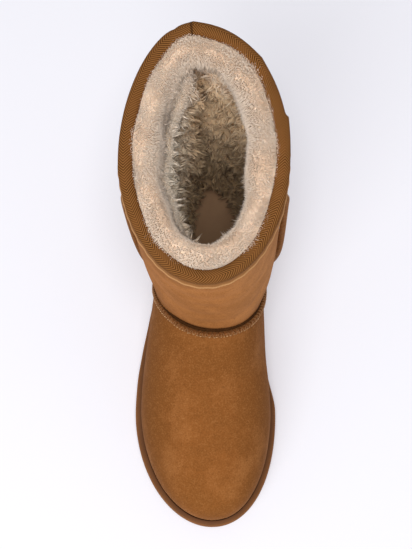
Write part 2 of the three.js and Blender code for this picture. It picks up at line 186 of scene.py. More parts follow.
def wrapped(name, along, around, place, ring=False, tube=True, size=(1.0, 1.0)):
    """A grid of along by around cells. place(s, t) puts its points, with s and t from 0 to 1, and size is
    the real length and girth for the UV map. A ring closes on itself along s and a tube around t."""
    bm = bmesh.new()
    bm.loops.layers.uv.new("UVMap")
    bmesh.ops.create_grid(bm, x_segments=along, y_segments=around, size=0.5, calc_uvs=True)
    mesh = mesh_from(bm, name)
    flat = points_of(mesh)
    s, t = flat[:, 0] + 0.5, flat[:, 1] + 0.5
    if ring:
        s = np.where(s > 1 - 1e-6, 0.0, s)
    if tube:
        t = np.where(t > 1 - 1e-6, 0.0, t)
    set_points(mesh, place(np.clip(s, 0, 1), np.clip(t, 0, 1)))
    uv = numbers_of(mesh.uv_layers[0].data, "uv", 2) * np.array(size, np.float32)
    mesh.uv_layers[0].data.foreach_set("uv", uv.ravel())
    bm = bmesh.new()
    bm.from_mesh(mesh)
    bmesh.ops.remove_doubles(bm, verts=bm.verts, dist=1e-7)
    open_edges = [edge for edge in bm.edges if edge.is_boundary]
    if tube and open_edges:
        bmesh.ops.holes_fill(bm, edges=open_edges, sides=0)
    bmesh.ops.recalc_face_normals(bm, faces=bm.faces)
    bm.to_mesh(mesh)
    bm.free()
    return smooth_shaded(mesh)


def profile_at(rows, t):
    """Points of a closed profile, as two columns, at shares t of its length"""
    corners = np.array(rows + rows[:1], float)
    steps = np.hypot(*np.diff(corners, axis=0).T)
    reach = np.concatenate([[0], np.cumsum(steps)]) / steps.sum()
    return np.interp(t, reach, corners[:, 0]), np.interp(t, reach, corners[:, 1])


# %% [markdown]
# Helpers for finishes
# A finish is a small tree of nodes. One function adds a node, sets it and links it, so a tree reads like a
# list. Colours are written as the hex values one would pick off a screen and turned into linear light once.
# A real surface is one colour with others over it, so most finishes are a list of tints laid on in turn.

# %% Finish helpers
MIX_A, MIX_B, MIX_OUT = 6, 7, 2  # the colour sockets of a Mix node


def linear(hex_colour):
    parts = [int(hex_colour[i:i + 2], 16) / 255 for i in (1, 3, 5)]
    return (*[v / 12.92 if v <= 0.04045 else ((v + 0.055) / 1.055) ** 2.4 for v in parts], 1.0)


def per_size(millimetres):
    """The scale of a noise whose patches are this large"""
    return 1 / (millimetres * MM)


def add_node(owner, kind, sockets=None, **settings):
    """Adds a node to a material, or to a group of geometry nodes by the node's full name. Each socket gets a
    value or, where it is given another node's output, a link"""
    tree = getattr(owner, "node_tree", owner)
    node = tree.nodes.new(kind if tree is owner else "ShaderNode" + kind)
    for key, value in settings.items():
        setattr(node, key, value)
    for key, value in (sockets or {}).items():
        if isinstance(value, bpy.types.NodeSocket):
            tree.links.new(value, node.inputs[key])
        else:
            node.inputs[key].default_value = value
    return node


def new_finish(name, roughness, **uniform):
    """A material and its shader, with the numbers and colours that are the same all over the surface"""
    material = bpy.data.materials.new(name)
    material.use_nodes = True
    shader = material.node_tree.nodes["Principled BSDF"]
    shader.inputs["Roughness"].default_value = roughness
    for key, value in uniform.items():
        shader.inputs[key.replace("_", " ")].default_value = value
    return material, shader


def tinted(material, colour, tints):
    """Lays tints over a colour, one after the other. A tint is its colour, its greatest share, and the values
    that bring it out, each with where the tint begins and where it is whole"""
    for tint, most, *where in tints:
        share = most
        for value, begins, whole in where:
            part = add_node(material, "MapRange", {"Value": value, "From Min": begins, "From Max": whole})
            both = add_node(material, "Math", {0: part.outputs[0], 1: share}, operation="MULTIPLY")
            share = both.outputs[0]
        mix = add_node(material, "Mix", {0: share, MIX_A: colour, MIX_B: linear(tint)}, data_type="RGBA")
        colour = mix.outputs[MIX_OUT]
    return colour


def surfaced(material, shader, colour, height=None, strength=0.0, depth=0.0):
    """Leads a colour into the shader and, where there is one, a relief of this depth"""
    links = material.node_tree.links
    links.new(colour, shader.inputs["Base Color"])
    if height is not None:
        bump = add_node(material, "Bump", {"Height": height, "Strength": strength, "Distance": depth})
        links.new(bump.outputs[0], shader.inputs["Normal"])


def cover_with(material, *pieces):
    for piece in pieces:
        piece.data.materials.clear()
        piece.data.materials.append(material)

# %% [markdown]
# The upper
# On the real boot this is sheepskin turned suede side out: a foot panel and a leg panel, sewn together round
# the throat. The CAD upper has the right form but flat facets. Its outside is taken off it, closed above and
# below, and rebuilt from small even voxels. The voxels are eased, and points on the leg are never mixed with
# points on the foot, so the crease of the throat seam stays crisp while both panels become smooth.

# %% Take the outside off the CAD upper
SKIN = 2.6 * MM
VOXEL = 2.1 * MM


def merged_copy(node):
    bm = bmesh.new()
    bm.from_mesh(frame["nodes"][node].data)
    bmesh.ops.remove_doubles(bm, verts=bm.verts, dist=0.02 * MM)
    bm.normal_update()
    return bm


outside = merged_copy("upper")
rims = [f for f in outside.faces if f.normal.z < -0.8 or f.normal.z > 0.8 and f.calc_center_median().z > 0.22]
bmesh.ops.delete(outside, geom=rims, context="FACES")
reached = {max(outside.verts, key=lambda v: v.co.x)}
edge_of_reach = list(reached)
while edge_of_reach:
    vert = edge_of_reach.pop()
    for edge in vert.link_edges:
        other = edge.other_vert(vert)
        if other not in reached:
            reached.add(other)
            edge_of_reach.append(other)
bmesh.ops.delete(outside, geom=[v for v in outside.verts if v not in reached], context="VERTS")

top_rim = [e for e in outside.edges if e.is_boundary and e.verts[0].co.z > 0.2]
foot_rim = [e for e in outside.edges if e.is_boundary and e.verts[0].co.z < 0.1]
top_points = np.array([v.co for e in top_rim for v in e.verts])
foot_points = np.array([v.co for e in foot_rim for v in e.verts])
collar_slope, collar_level = np.polyfit(top_points[:, 1], top_points[:, 2], 1)
bed_order = np.argsort(foot_points[:, 1])
bed_y, bed_z = foot_points[bed_order, 1], foot_points[bed_order, 2]
print("collar edge at mm:", round(collar_level / MM, 1), "slope", round(collar_slope, 4))

# %% Note where the throat's crease runs
LEG_AND_FOOT_BEND = -13  # degrees, a valley edge between the two panels
THROAT_FRONT, THROAT_BACK = -17 * MM, 52 * MM  # y, where the crease is looked for
THROAT_LOW, THROAT_HIGH = 27 * MM, 109.4 * MM  # z, its foot behind the sole's rim and its top at the front
SIDES_PART = 6 * MM  # x, with the lateral side below it
crease_points = {"lateral": [], "medial": []}
for edge in outside.edges:
    middle = (edge.verts[0].co + edge.verts[1].co) / 2
    if edge.is_boundary or middle.y > THROAT_BACK or middle.z < THROAT_LOW:
        continue
    if math.degrees(edge.calc_face_angle_signed(0)) < LEG_AND_FOOT_BEND and middle.y > THROAT_FRONT:
        for vert in edge.verts:
            crease_points["lateral" if vert.co.x < SIDES_PART else "medial"].append((vert.co.z, vert.co.y))
for side, found in crease_points.items():
    crease_points[side] = np.array(sorted(set(found)))
    print("crease,", side, "side:", len(crease_points[side]), "points")


def beyond_crease(points):
    """Above nought on the leg, below nought on the foot: how far behind the crease a point lies"""
    behind = np.empty(len(points))
    for side, rows in crease_points.items():
        mine = (points[:, 0] < SIDES_PART) == (side == "lateral")
        behind[mine] = points[mine, 1] - np.interp(points[mine, 2], rows[:, 0], rows[:, 1])
    over = points[:, 2] > THROAT_HIGH
    return np.where(over, np.maximum(behind, MM), behind)


# %% Close it, rebuild it from voxels and ease it
CAP_TOP, CAP_FOOT = 256 * MM, 1 * MM
for rim, level in ((top_rim, CAP_TOP), (foot_rim, CAP_FOOT)):
    drawn = bmesh.ops.extrude_edge_only(outside, edges=rim)["geom"]
    for vert in (v for v in drawn if isinstance(v, bmesh.types.BMVert)):
        vert.co.z = level
bmesh.ops.holes_fill(outside, edges=[e for e in outside.edges if e.is_boundary], sides=0)
bmesh.ops.recalc_face_normals(outside, faces=outside.faces)
upper = new_piece("upper_suede", mesh_from(outside, "upper_suede"))
skin_mesh = voxel_remade(upper, VOXEL)

PANEL_ROUNDS = 46
points, edges = points_of(skin_mesh), edges_of(skin_mesh)
on_leg = beyond_crease(points) > 0
same_panel = on_leg[edges[:, 0]] == on_leg[edges[:, 1]]
skin_points = eased(points, edges[same_panel], PANEL_ROUNDS)
set_points(skin_mesh, skin_points)
crossing = edges[on_leg[edges[:, 0]] != on_leg[edges[:, 1]]]
valley = (skin_points[crossing[:, 0]] + skin_points[crossing[:, 1]]) / 2
print("upper:", len(skin_mesh.polygons), "faces, moved at most mm:",
      round(float(np.abs(skin_points - points).max()) / MM, 2))

# %% [markdown]
# Lines round the leg
# Tape, wool and seams all follow the skin, so they are placed by asking the eased skin where it is. From a
# point in the middle of the leg a ray goes out level in each direction and stops at the skin. The stops are
# spaced evenly along the collar, so that a weave or a row of stitches keeps its size all the way round.

# %% The collar line
skin_tree = BVHTree.FromObject(upper, bpy.context.evaluated_depsgraph_get())
collar_low, collar_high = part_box("collar_binding")
LEG_MIDDLE = np.array([-1 * MM, (collar_low.y + collar_high.y) / 2])
COLLAR_STEPS = 720
NEAR_COLLAR = 232 * MM  # z of a level line just below the tape's top
LEG_RADIUS, HALF_LEG = 45 * MM, 70 * MM  # about, across and from front to back
RING_ROUNDS = 60


def skin_stop(turn, z):
    """Where a level ray from mid-leg meets the skin; turn 0 is the back, a quarter turn the big toe"""
    way = Vector((math.sin(turn), math.cos(turn), 0))
    hit = skin_tree.ray_cast(Vector((*LEG_MIDDLE, z)), way)[0]
    return hit if hit else Vector((*LEG_MIDDLE, z)) + way * LEG_RADIUS


even_turns = np.linspace(0, 2 * math.pi, COLLAR_STEPS + 1)
rough_line = np.array([skin_stop(turn, NEAR_COLLAR) for turn in even_turns])[:, :2]
reach = np.concatenate([[0], np.cumsum(np.hypot(*np.diff(rough_line, axis=0).T))])
COLLAR_LENGTH = float(reach[-1])
turn_at_share = np.interp(np.linspace(0, 1, COLLAR_STEPS + 1), reach / COLLAR_LENGTH, even_turns)
print("round the collar, mm:", round(COLLAR_LENGTH / MM, 1))


def level_of_collar(y):
    return collar_level + collar_slope * y


def skin_ring(down):
    """The skin's line this far below the collar's edge, as a smooth closed run of points and its normals"""
    line = np.empty((COLLAR_STEPS, 3))
    for i in range(COLLAR_STEPS):
        turn = turn_at_share[i]
        guess = LEG_MIDDLE[1] + HALF_LEG * math.cos(turn)
        line[i] = skin_stop(turn, level_of_collar(guess) - down)
        line[i, 2] = level_of_collar(line[i, 1]) - down
    for _ in range(RING_ROUNDS):
        line = 0.5 * line + 0.25 * (np.roll(line, 1, 0) + np.roll(line, -1, 0))
    along = np.roll(line, -1, 0) - np.roll(line, 1, 0)
    out = np.column_stack([-along[:, 1], along[:, 0], np.zeros(COLLAR_STEPS)])
    return line, out / np.linalg.norm(out, axis=1)[:, None]


ring_levels = np.array([-4, 0, 4, 8, 12, 18, 26, 36, 48]) * MM
ring_lines, ring_ways = map(np.array, zip(*[skin_ring(down) for down in ring_levels]))


def round_collar(s, out, up):
    """Points at share s round the collar, out from the skin and up from the collar's edge, in metres"""
    down = np.clip(-up, ring_levels[0], ring_levels[-1])
    row = np.interp(down, ring_levels, np.arange(len(ring_levels)))
    low = np.minimum(row.astype(int), len(ring_levels) - 2)
    rise = (row - low)[:, None]
    column = (s % 1) * COLLAR_STEPS
    one = column.astype(int) % COLLAR_STEPS
    two = (one + 1) % COLLAR_STEPS
    part = (column - column.astype(int))[:, None]

    def looked_up(table):
        first = table[low, one] * (1 - rise) + table[low + 1, one] * rise
        second = table[low, two] * (1 - rise) + table[low + 1, two] * rise
        return first * (1 - part) + second * part
    points = looked_up(ring_lines)
    points[:, 2] += up + down
    return points + looked_up(ring_ways) * np.asarray(out)[:, None]


print("lines round the leg:", ring_lines.shape[0], "of", COLLAR_STEPS, "points")

# %% [markdown]
# Creases in the suede
# Sheepskin is soft, so the leg sags into a few broad folds and the foot keeps a dip beside the throat. Each
# one is drawn as a short line on the skin, with a width and a depth: a trough pushes the skin in, a
# ridge brings it out. Wide, shallow and few is what tells sheepskin from thin cloth.

# %% Press the creases
CREASES = [
    # (points as x, y, z in mm, half width in mm, depth in mm: above nought is a trough, below is a ridge)
    ([(-30, -4, 205), (-8, -14, 207), (14, -12, 203)], 5.0, 0.5),
    ([(-24, -6, 188), (0, -15, 184), (24, -9, 187)], 6.0, 0.7),
    ([(-6, -14, 170), (16, -12, 166), (34, 4, 170)], 5.0, 0.6),
    ([(-36, 6, 150), (-18, -10, 144), (6, -16, 147)], 7.0, 0.8),
    ([(0, -16, 128), (20, -12, 131), (38, 4, 139)], 6.0, 0.8),
    ([(-30, 0, 124), (-14, -12, 121), (4, -16, 119)], 5.0, -0.5),
    ([(46, 30, 120), (49, 50, 128), (48, 76, 124)], 8.0, 1.3),
    ([(47, 20, 96), (48, 48, 100), (46, 80, 94)], 8.0, 1.5),
    ([(-42, 24, 112), (-46, 50, 118), (-45, 82, 112)], 8.0, 1.3),
    ([(-40, 30, 90), (-43, 56, 92), (-41, 90, 86)], 8.0, 1.5),
    ([(-24, 130, 100), (0, 140, 94), (26, 128, 99)], 9.0, 1.6),
    ([(-30, 126, 74), (0, 138, 70), (30, 124, 76)], 9.0, 1.2),
    ([(-30, 120, 150), (-4, 140, 156), (28, 130, 148)], 11.0, 1.2),
    ([(-34, -22, 78), (-24, -30, 88), (-10, -38, 92)], 9.0, 0.9),
    ([(40, -18, 70), (34, -34, 78), (22, -46, 83)], 9.0, 0.8),
    ([(-20, -74, 70), (2, -80, 72), (22, -76, 70)], 12.0, 0.5),
]


def distance_to_line(points, line):
    line = np.array(line, float) * MM
    nearest = np.full(len(points), 1e9)
    for start, end in zip(line[:-1], line[1:]):
        span = end - start
        share = np.clip((points - start) @ span / (span @ span), 0, 1)
        nearest = np.minimum(nearest, np.linalg.norm(points - start - share[:, None] * span, axis=1))
    return nearest


ways = normals_of(skin_mesh)
pressed = np.zeros(len(skin_points))
for line, half_width, depth in CREASES:
    pressed -= depth * MM * np.exp(-(distance_to_line(skin_points, line) / (half_width * MM)) ** 2)
swell = np.array([noise.noise(Vector(p) * 28) for p in skin_points])
pressed += 0.35 * MM * swell
skin_points = skin_points + ways * pressed[:, None]
set_points(skin_mesh, skin_points)
print("pressed between mm:", round(pressed.min() / MM, 2), round(pressed.max() / MM, 2))

# %% Open it at the collar and underneath and give it its thickness
COLLAR_GAP = 0.2 * MM
LIP_HEIGHT, HIGHLIGHT_FADE = 2.6 * MM, 1.6 * MM  # the suede's edge gets a painted highlight just above the sole's lip


def cut_along(bm, level_at, keep_below):
    """Shears the mesh so that a curved cut lies flat, cuts off one side of it, and shears it back"""
    for vert in bm.verts:
        vert.co.z -= level_at(vert.co.y)
    everything = bm.verts[:] + bm.edges[:] + bm.faces[:]
    bmesh.ops.bisect_plane(bm, geom=everything, plane_co=(0, 0, 0), plane_no=(0, 0, 1),
                           clear_outer=keep_below, clear_inner=not keep_below)
    for vert in bm.verts:
        vert.co.z += level_at(vert.co.y)


def level_of_bed(y):
    return float(np.interp(y, bed_y, bed_z))


open_skin = bmesh.new()
open_skin.from_mesh(skin_mesh)
cut_along(open_skin, lambda y: level_of_collar(y) - COLLAR_GAP, keep_below=True)
cut_along(open_skin, level_of_bed, keep_below=False)
open_skin.to_mesh(skin_mesh)
open_skin.free()
wall = upper.modifiers.new("skin thickness", "SOLIDIFY")
wall.thickness = SKIN
wall.offset = -1
wall.use_even_offset = False
wall.use_quality_normals = True
upper.data = apply_modifiers(upper)
smooth_shaded(upper.data, 55)
print("upper:", len(upper.data.polygons), "faces")
upper_points = points_of(upper.data)
# painted highlight: a pale band on the suede just above the sole's lip, fading upwards
above_lip = upper_points[:, 2] - np.interp(upper_points[:, 1], bed_y, bed_z) - LIP_HEIGHT
keep_values(upper.data, "painted_edge_highlight", np.exp(-np.clip(above_lip, 0, None) / HIGHLIGHT_FADE))
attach(upper, "root")
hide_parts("upper")

# %% [markdown]
# The binding tape
# A cotton tape about 20 mm wide, woven in a herringbone, is folded over the raw top edge and sewn through.
# A curve with a bevel would do, but the tape's section matters: flat on top, a soft fold on each side and a
# selvedge at the bottom of the outer leg. So its section is drawn as a list of (out, up) points in mm and a
# grid is wrapped round the collar with it. The grid's UV map then runs along the tape and across it.

# %% Wrap the tape
TAPE_SECTION = [
    (1.2, -10.9), (1.9, -10.6), (2.05, -10.0), (1.6, -9.3), (1.2, -8.4), (1.25, -6.0), (1.35, -3.0),
    (1.45, -0.9), (1.2, 0.2), (0.5, 1.0), (-0.8, 1.6), (-2.6, 1.95), (-4.4, 1.75), (-5.8, 1.1), (-6.6, 0.1),
    (-6.85, -1.2), (-6.85, -4.6), (-6.8, -7.6), (-6.4, -8.0), (-5.95, -7.6), (-5.95, -2.0), (-5.8, -0.3),
    (-5.2, 0.5), (-4.2, 0.95), (-2.6, 1.1), (-1.0, 0.85), (0.1, 0.3), (0.45, -0.6), (0.4, -3.0), (0.35, -6.0),
    (0.35, -10.2), (0.6, -10.8),
]
TAPE_GIRTH = 50 * MM
TAPE_AROUND, TAPE_ALONG = 44, 320
JOIN_SHARE = 0.981  # where the tape's two ends meet, a little to the lateral side of the back


def share_from(s, place):
    """How far along the collar s lies from a place, the short way round, in metres"""
    return ((s - place + 0.5) % 1 - 0.5) * COLLAR_LENGTH


KINKS = [
    # share round the collar, how far the tape stands out, and how far that fades before and after it, mm
    (0.955, -1.0, 2.5, 3.0), (0.985, 0.7, 6.0, 3.0), (0.10, 0.9, 6.0, 5.0), (0.196, 1.6, 0.8, 20.0),
    (0.34, 0.5, 9.0, 9.0), (0.72, 0.6, 10.0, 8.0), (0.60, -0.4, 6.0, 6.0),
]


def kinked(s):
    """Where the tape was pulled round a bend it buckles a little"""
    total = np.zeros_like(s)
    for place, stand, before, after in KINKS:
        away = share_from(s, place) / MM
        total += stand * np.exp(-np.abs(away) / np.where(away < 0, before, after))
    return total


def tape_points(s, t):
    out, up = profile_at(TAPE_SECTION, t)
    outer_leg = np.clip((out + 1) / 2, 0, 1) * np.clip(-up / 8, 0, 1)
    past_join = share_from(s, JOIN_SHARE)
    lap = 1 / (1 + np.exp(-past_join / (0.35 * MM))) * np.exp(-np.clip(past_join, 0, None) / (9 * MM))
    ripple = 0.16 * np.sin(s * 2 * math.pi * 46) * outer_leg
    waves = 0.25 * np.sin(s * 2 * math.pi * 5 + 1) + 0.2 * np.sin(s * 2 * math.pi * 11 + 2.3)
    over = np.clip((up + 1) / 2, 0, 1)
    outside = np.clip((out + 6) / 7, 0, 1)
    out = out + ripple + 0.8 * lap * outer_leg + kinked(s) * outside
    up = up + over * (0.9 * lap + 0.5 * waves) - 0.3 * outer_leg * waves
    return round_collar(s, out * MM, up * MM)


tape = new_piece("collar_tape", wrapped(
    "collar_tape", TAPE_ALONG, TAPE_AROUND, tape_points, ring=True, size=(COLLAR_LENGTH, TAPE_GIRTH)))
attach(tape, "root")
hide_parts("collar_binding")
print("tape:", len(tape.data.polygons), "faces")

# %% [markdown]
# The fleece
# The lining is the wool side of the same sheepskin, some 12 mm deep. Hair curves would give single fibres
# but leave no mesh behind, so the wool is made in two layers. The first is the CAD lining, with its roll of
# wool inside the tape, remade from voxels and pushed into clumps. The second is a coat of locks: one tapered
# lock, set on the wool many times over by Geometry Nodes, then combed in clumps.

# %% The body of the wool
WOOL_VOXEL = 2.1 * MM
HELD, COMES_FREE = 3.4 * MM, 3.5 * MM  # wool this near the skin stays, and over this much more it comes free
WOOL_FOOT = 27 * MM
BROAD_CLUMPS, CURLY_CLUMPS, FINE_CLUMPS = 48, 135, 330  # to a metre, from large swells to single tips
BRIGHT, DEEP = 10 * MM, 34 * MM  # below the collar: where curls begin, and where the wool is all curls

wool = new_piece("fleece_body", mesh_from(merged_copy("fleece_lining"), "fleece_body"))
wool_mesh = voxel_remade(wool, WOOL_VOXEL)
points, edges = points_of(wool_mesh), edges_of(wool_mesh)
from_skin = np.array([skin_tree.find_nearest(Vector(p))[3] for p in points])
free = np.clip((from_skin - HELD) / COMES_FREE, 0, 1) * (points[:, 2] > WOOL_FOOT)
softened = eased(points, edges, 9)
points = points + (softened - points) * free[:, None]
set_points(wool_mesh, points)

ways = normals_of(wool_mesh)
down = level_of_collar(points[:, 1]) - points[:, 2]
deep = np.clip((down - BRIGHT) / (DEEP - BRIGHT), 0, 1)
behind = np.clip((points[:, 1] - LEG_MIDDLE[1]) / (15 * MM) + 0.5, 0, 1)
clumps = np.empty(len(points))
for i, point in enumerate(points):
    broad = noise.noise(Vector(point) * BROAD_CLUMPS)
    curl = 0.42 - noise.voronoi(Vector(point) * CURLY_CLUMPS)[0][0]
    fine = noise.noise(Vector(point) * FINE_CLUMPS)
    clumps[i] = 3.0 * broad + (0.25 + 3.4 * deep[i]) * curl + (0.15 + 0.6 * deep[i]) * fine
# the lining is joined down the middle of the back: the wool swells on each side and parts along a wavy line
parting_x = -4 * MM + 2.5 * MM * np.sin(points[:, 2] * 75)
to_parting = (points[:, 0] - parting_x) / MM
swells = 5.0 * np.exp(-((to_parting + 13) / 8) ** 2) + 3.0 * np.exp(-((to_parting - 11) / 7) ** 2)
clumps += deep * behind * swells
clumps -= 4.5 * deep * behind * np.exp(-(to_parting / 2.4) ** 2)
clumps += 3.0 * np.exp(-((points[:, 2] - 48 * MM) / (18 * MM)) ** 2)
on_lateral_wall = np.clip(ways[:, 0], 0, 1) * np.clip(-points[:, 0] / (8 * MM), 0, 1)
below_roll = np.clip((down - 5 * MM) / (14 * MM), 0, 1)
clumps += 12.0 * below_roll * on_lateral_wall * np.clip((points[:, 2] - 60 * MM) / (60 * MM), 0, 1)
points = points + ways * (clumps * MM * free)[:, None]
set_points(wool_mesh, points)
smooth_shaded(wool_mesh)
print("wool body:", len(wool_mesh.polygons), "faces, clumps up to mm:", round(float(clumps.max()), 2))
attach(wool, "root")
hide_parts("fleece_lining")

# %% One lock, and where locks grow
LOCK_SIDES = 3


def make_lock(length, width):
    """A tapered lock that stands on its root, with the share of its length kept on each point as reach"""
    bm = bmesh.new()
    bmesh.ops.create_cone(bm, cap_ends=True, segments=LOCK_SIDES, radius1=width / 2, radius2=0, depth=length)
    sides = [e for e in bm.edges if abs(e.verts[0].co.z - e.verts[1].co.z) > length / 2]
    bmesh.ops.subdivide_edges(bm, edges=sides, cuts=1, use_grid_fill=True)
    reach_layer = bm.verts.layers.float.new("reach")
    for vert in bm.verts:
        share = vert.co.z / length + 0.5
        vert[reach_layer] = share
        vert.co.x *= 1 + 0.5 * math.sin(share * math.pi)
        vert.co.y *= 1 + 0.5 * math.sin(share * math.pi)
        vert.co.z = share * length
    mesh = mesh_from(bm, "lock")
    return new_piece("lock", smooth_shaded(mesh))


facing_in = np.array([
    -(way[0] * (p[0] - LEG_MIDDLE[0]) + way[1] * (p[1] - LEG_MIDDLE[1]))
    / (math.hypot(*(p[:2] - LEG_MIDDLE)) + 1e-9)
    for way, p in zip(ways, points)])
on_face = np.clip((facing_in + ways[:, 2] + 0.1) / 0.3, 0, 1) * (from_skin > 5 * MM)
at_lip = np.clip(1 - np.abs(down - 11 * MM) / (6 * MM), 0, 1) * np.clip((facing_in - 0.45) / 0.3, 0, 1)
COVERS = {
    "lip": at_lip * (from_skin > 12 * MM),
    "mouth": on_face * np.clip((24 * MM - down) / (8 * MM), 0, 1),
    "wall": on_face * np.clip((down - 14 * MM) / (8 * MM), 0, 1)
    * np.clip((points[:, 2] - 32 * MM) / (10 * MM), 0, 1),
}
for cover, values in COVERS.items():
    keep_values(wool_mesh, cover, values)


# %% Scatter the locks
def scatter(name, lock, cover, per_square_mm, seed, sizes):
    """Sets a lock upright all over the wool where the cover says, each turned and sized at random"""
    group = bpy.data.node_groups.new(name, "GeometryNodeTree")
    for end in ("INPUT", "OUTPUT"):
        group.interface.new_socket("Geometry", in_out=end, socket_type="NodeSocketGeometry")
    add = partial(add_node, group)
    ground = add("NodeGroupInput").outputs[0]
    where = add("GeometryNodeInputNamedAttribute", {"Name": cover}, data_type="FLOAT").outputs["Attribute"]
    density = add("ShaderNodeMath", {0: where, 1: per_square_mm / (MM * MM)}, operation="MULTIPLY").outputs[0]
    spots = add("GeometryNodeDistributePointsOnFaces", {"Mesh": ground, "Density": density, "Seed": seed})
    place = add("GeometryNodeInputPosition").outputs[0]
    rooted = add("GeometryNodeStoreNamedAttribute", {
        "Geometry": spots.outputs["Points"], "Name": "root", "Value": place},
        data_type="FLOAT_VECTOR", domain="POINT").outputs[0]
    spin = add("FunctionNodeRandomValue", {
        "Min": 0.0, "Max": 2 * math.pi, "Seed": seed + 1}, data_type="FLOAT")
    spin_out = [s for s in spin.outputs if s.enabled][0]
    euler = add("ShaderNodeCombineXYZ", {"Z": spin_out}).outputs[0]
    turned = add("FunctionNodeEulerToRotation", {0: euler}).outputs[0]
    upright = add("FunctionNodeAlignRotationToVector", {
        "Rotation": turned, "Vector": spots.outputs["Normal"]}, axis="Z").outputs[0]
    size = add("FunctionNodeRandomValue", {"Seed": seed + 2}, data_type="FLOAT")
    low, high = [s for s in size.inputs if s.enabled][:2]
    low.default_value, high.default_value = sizes
    size_out = [s for s in size.outputs if s.enabled][0]
    shape = add("GeometryNodeObjectInfo", {"Object": lock}).outputs["Geometry"]
    copies = add("GeometryNodeInstanceOnPoints", {
        "Points": rooted, "Instance": shape, "Rotation": upright, "Scale": size_out}).outputs[0]
    real = add("GeometryNodeRealizeInstances", {"Geometry": copies}).outputs[0]
    add("NodeGroupOutput", {0: real})
    coat = new_piece(name, wool_mesh.copy())
    coat.modifiers.new("locks", "NODES").node_group = group
    coat.data = apply_modifiers(coat)
    return coat


SPILL = {"front": 1.6 * MM, "held_back": 1.1 * MM}  # how far tips lean over the tape, or back from it
SLOW_WIND, QUICK_STRAY = 60, 1500  # how often the two noises change along a metre


def comb(coat, per_lock, length, clump, pull, wind, stray, droop):
    """Bends each lock from its root: to the middle of its clump, along a slow wind, at random, and down"""
    mesh = coat.data
    reach = np.clip(numbers_of(mesh.attributes["reach"].data, "value", 1), 0, 1)
    each = numbers_of(mesh.attributes["root"].data, "vector", 3).astype(float)[::per_lock]
    bend = np.empty_like(each)
    for i, root in enumerate(each):
        at = Vector(root)
        middle = noise.voronoi(at / clump)[1][0] * clump
        bend[i] = (middle - at) * pull
        bend[i] += np.array(noise.noise_vector(at * SLOW_WIND)) * length * wind
        bend[i] += np.array(noise.noise_vector(at * QUICK_STRAY)) * length * stray
    out = each - np.array([*LEG_MIDDLE, 0])
    out[:, 2] = 0
    out /= np.linalg.norm(out, axis=1)[:, None]
    down = level_of_collar(each[:, 1]) - each[:, 2]
    near_tape = np.clip((8 * MM - down) / (8 * MM), 0, 1)
    to_front = np.clip((-0.35 - out[:, 1]) / 0.5, 0, 1)
    bend += out * (near_tape * (SPILL["front"] * to_front - SPILL["held_back"] * (1 - to_front)))[:, None]
    bend[:, 2] -= droop * (1 - near_tape)
    set_points(mesh, points_of(mesh) + np.repeat(bend, per_lock, axis=0) * reach ** 1.5)


COATS = [
    # name, lock's length and width in mm, cover, locks to a square mm, seed, sizes, and how it is combed:
    # clump in mm, pull, wind, stray, droop in mm
    ("fleece_locks_1", 2.3, 0.42, "mouth", 1.25, 11, (0.7, 1.2), (5, 0.06, 0.9, 0.35, 0.6)),
    ("fleece_locks_2", 2.3, 0.42, "mouth", 1.25, 21, (0.7, 1.2), (5, 0.06, 0.9, 0.35, 0.6)),
    ("fleece_locks_3", 2.3, 0.42, "mouth", 1.25, 31, (0.7, 1.2), (5, 0.06, 0.9, 0.35, 0.6)),
    ("fleece_curls", 2.9, 1.0, "wall", 0.29, 71, (0.6, 1.25), (6.5, 1.15, 0.7, 0.15, 0.4)),
    ("fleece_tufts", 3.8, 0.5, "lip", 1.6, 91, (0.5, 1.2), (4.5, 0.6, 0.5, 0.2, 1.4)),
]
coats = []
for name, length, width, cover, per_square_mm, seed, sizes, (clump, pull, wind, stray, droop) in COATS:
    lock = make_lock(length * MM, width * MM)
    coat = scatter(name, lock, cover, per_square_mm, seed, sizes)
    comb(coat, len(lock.data.vertices), length * MM, clump * MM, pull, wind, stray, droop * MM)
    bpy.data.objects.remove(lock)
    smooth_shaded(coat.data)
    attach(coat, "root")
    coats.append(coat)
    print(coat.name, "faces:", len(coat.data.polygons))

# %% [markdown]
# The raised seams
# Foot and leg are sewn edge to edge and turned outwards, so two raw skin edges stand up side by side with a
# slit between them, bound by an overlock thread. The same is done down both sides of the leg. Each seam is a
# grid wrapped along a path on the skin: the section has two rounded lips, and the thread is a thin tube that
# climbs one lip, crosses over and comes down the other, again and again.

# %% Paths for the seams
def even_path(points, count, rounds):
    """The same path in equal steps, eased along its length"""
    steps = np.linalg.norm(np.diff(points, axis=0), axis=1)
    reach = np.concatenate([[0], np.cumsum(steps)])
    at = np.linspace(0, reach[-1], count)
    path = np.column_stack([np.interp(at, reach, points[:, axis]) for axis in range(3)])
    for _ in range(rounds):
        path[1:-1] = 0.5 * path[1:-1] + 0.25 * (path[:-2] + path[2:])
    return path


def path_frame(path, out):
    """Unit vectors along a path, out of the skin and across the seam"""
    along = np.gradient(path, axis=0)
    along /= np.linalg.norm(along, axis=1)[:, None]
    out = out - along * np.sum(out * along, axis=1)[:, None]
    out /= np.linalg.norm(out, axis=1)[:, None]
    return along, out, np.cross(along, out)


def at_share(table, s):
    """Rows of a table at shares s of its length"""
    row = np.clip(s, 0, 1) * (len(table) - 1)
    low = np.minimum(row.astype(int), len(table) - 2)
    part = row - low
    if table.ndim == 1:
        return table[low] * (1 - part) + table[low + 1] * part
    return table[low] * (1 - part)[:, None] + table[low + 1] * part[:, None]


def length_of(path):
    return float(np.linalg.norm(np.diff(path, axis=0), axis=1).sum())


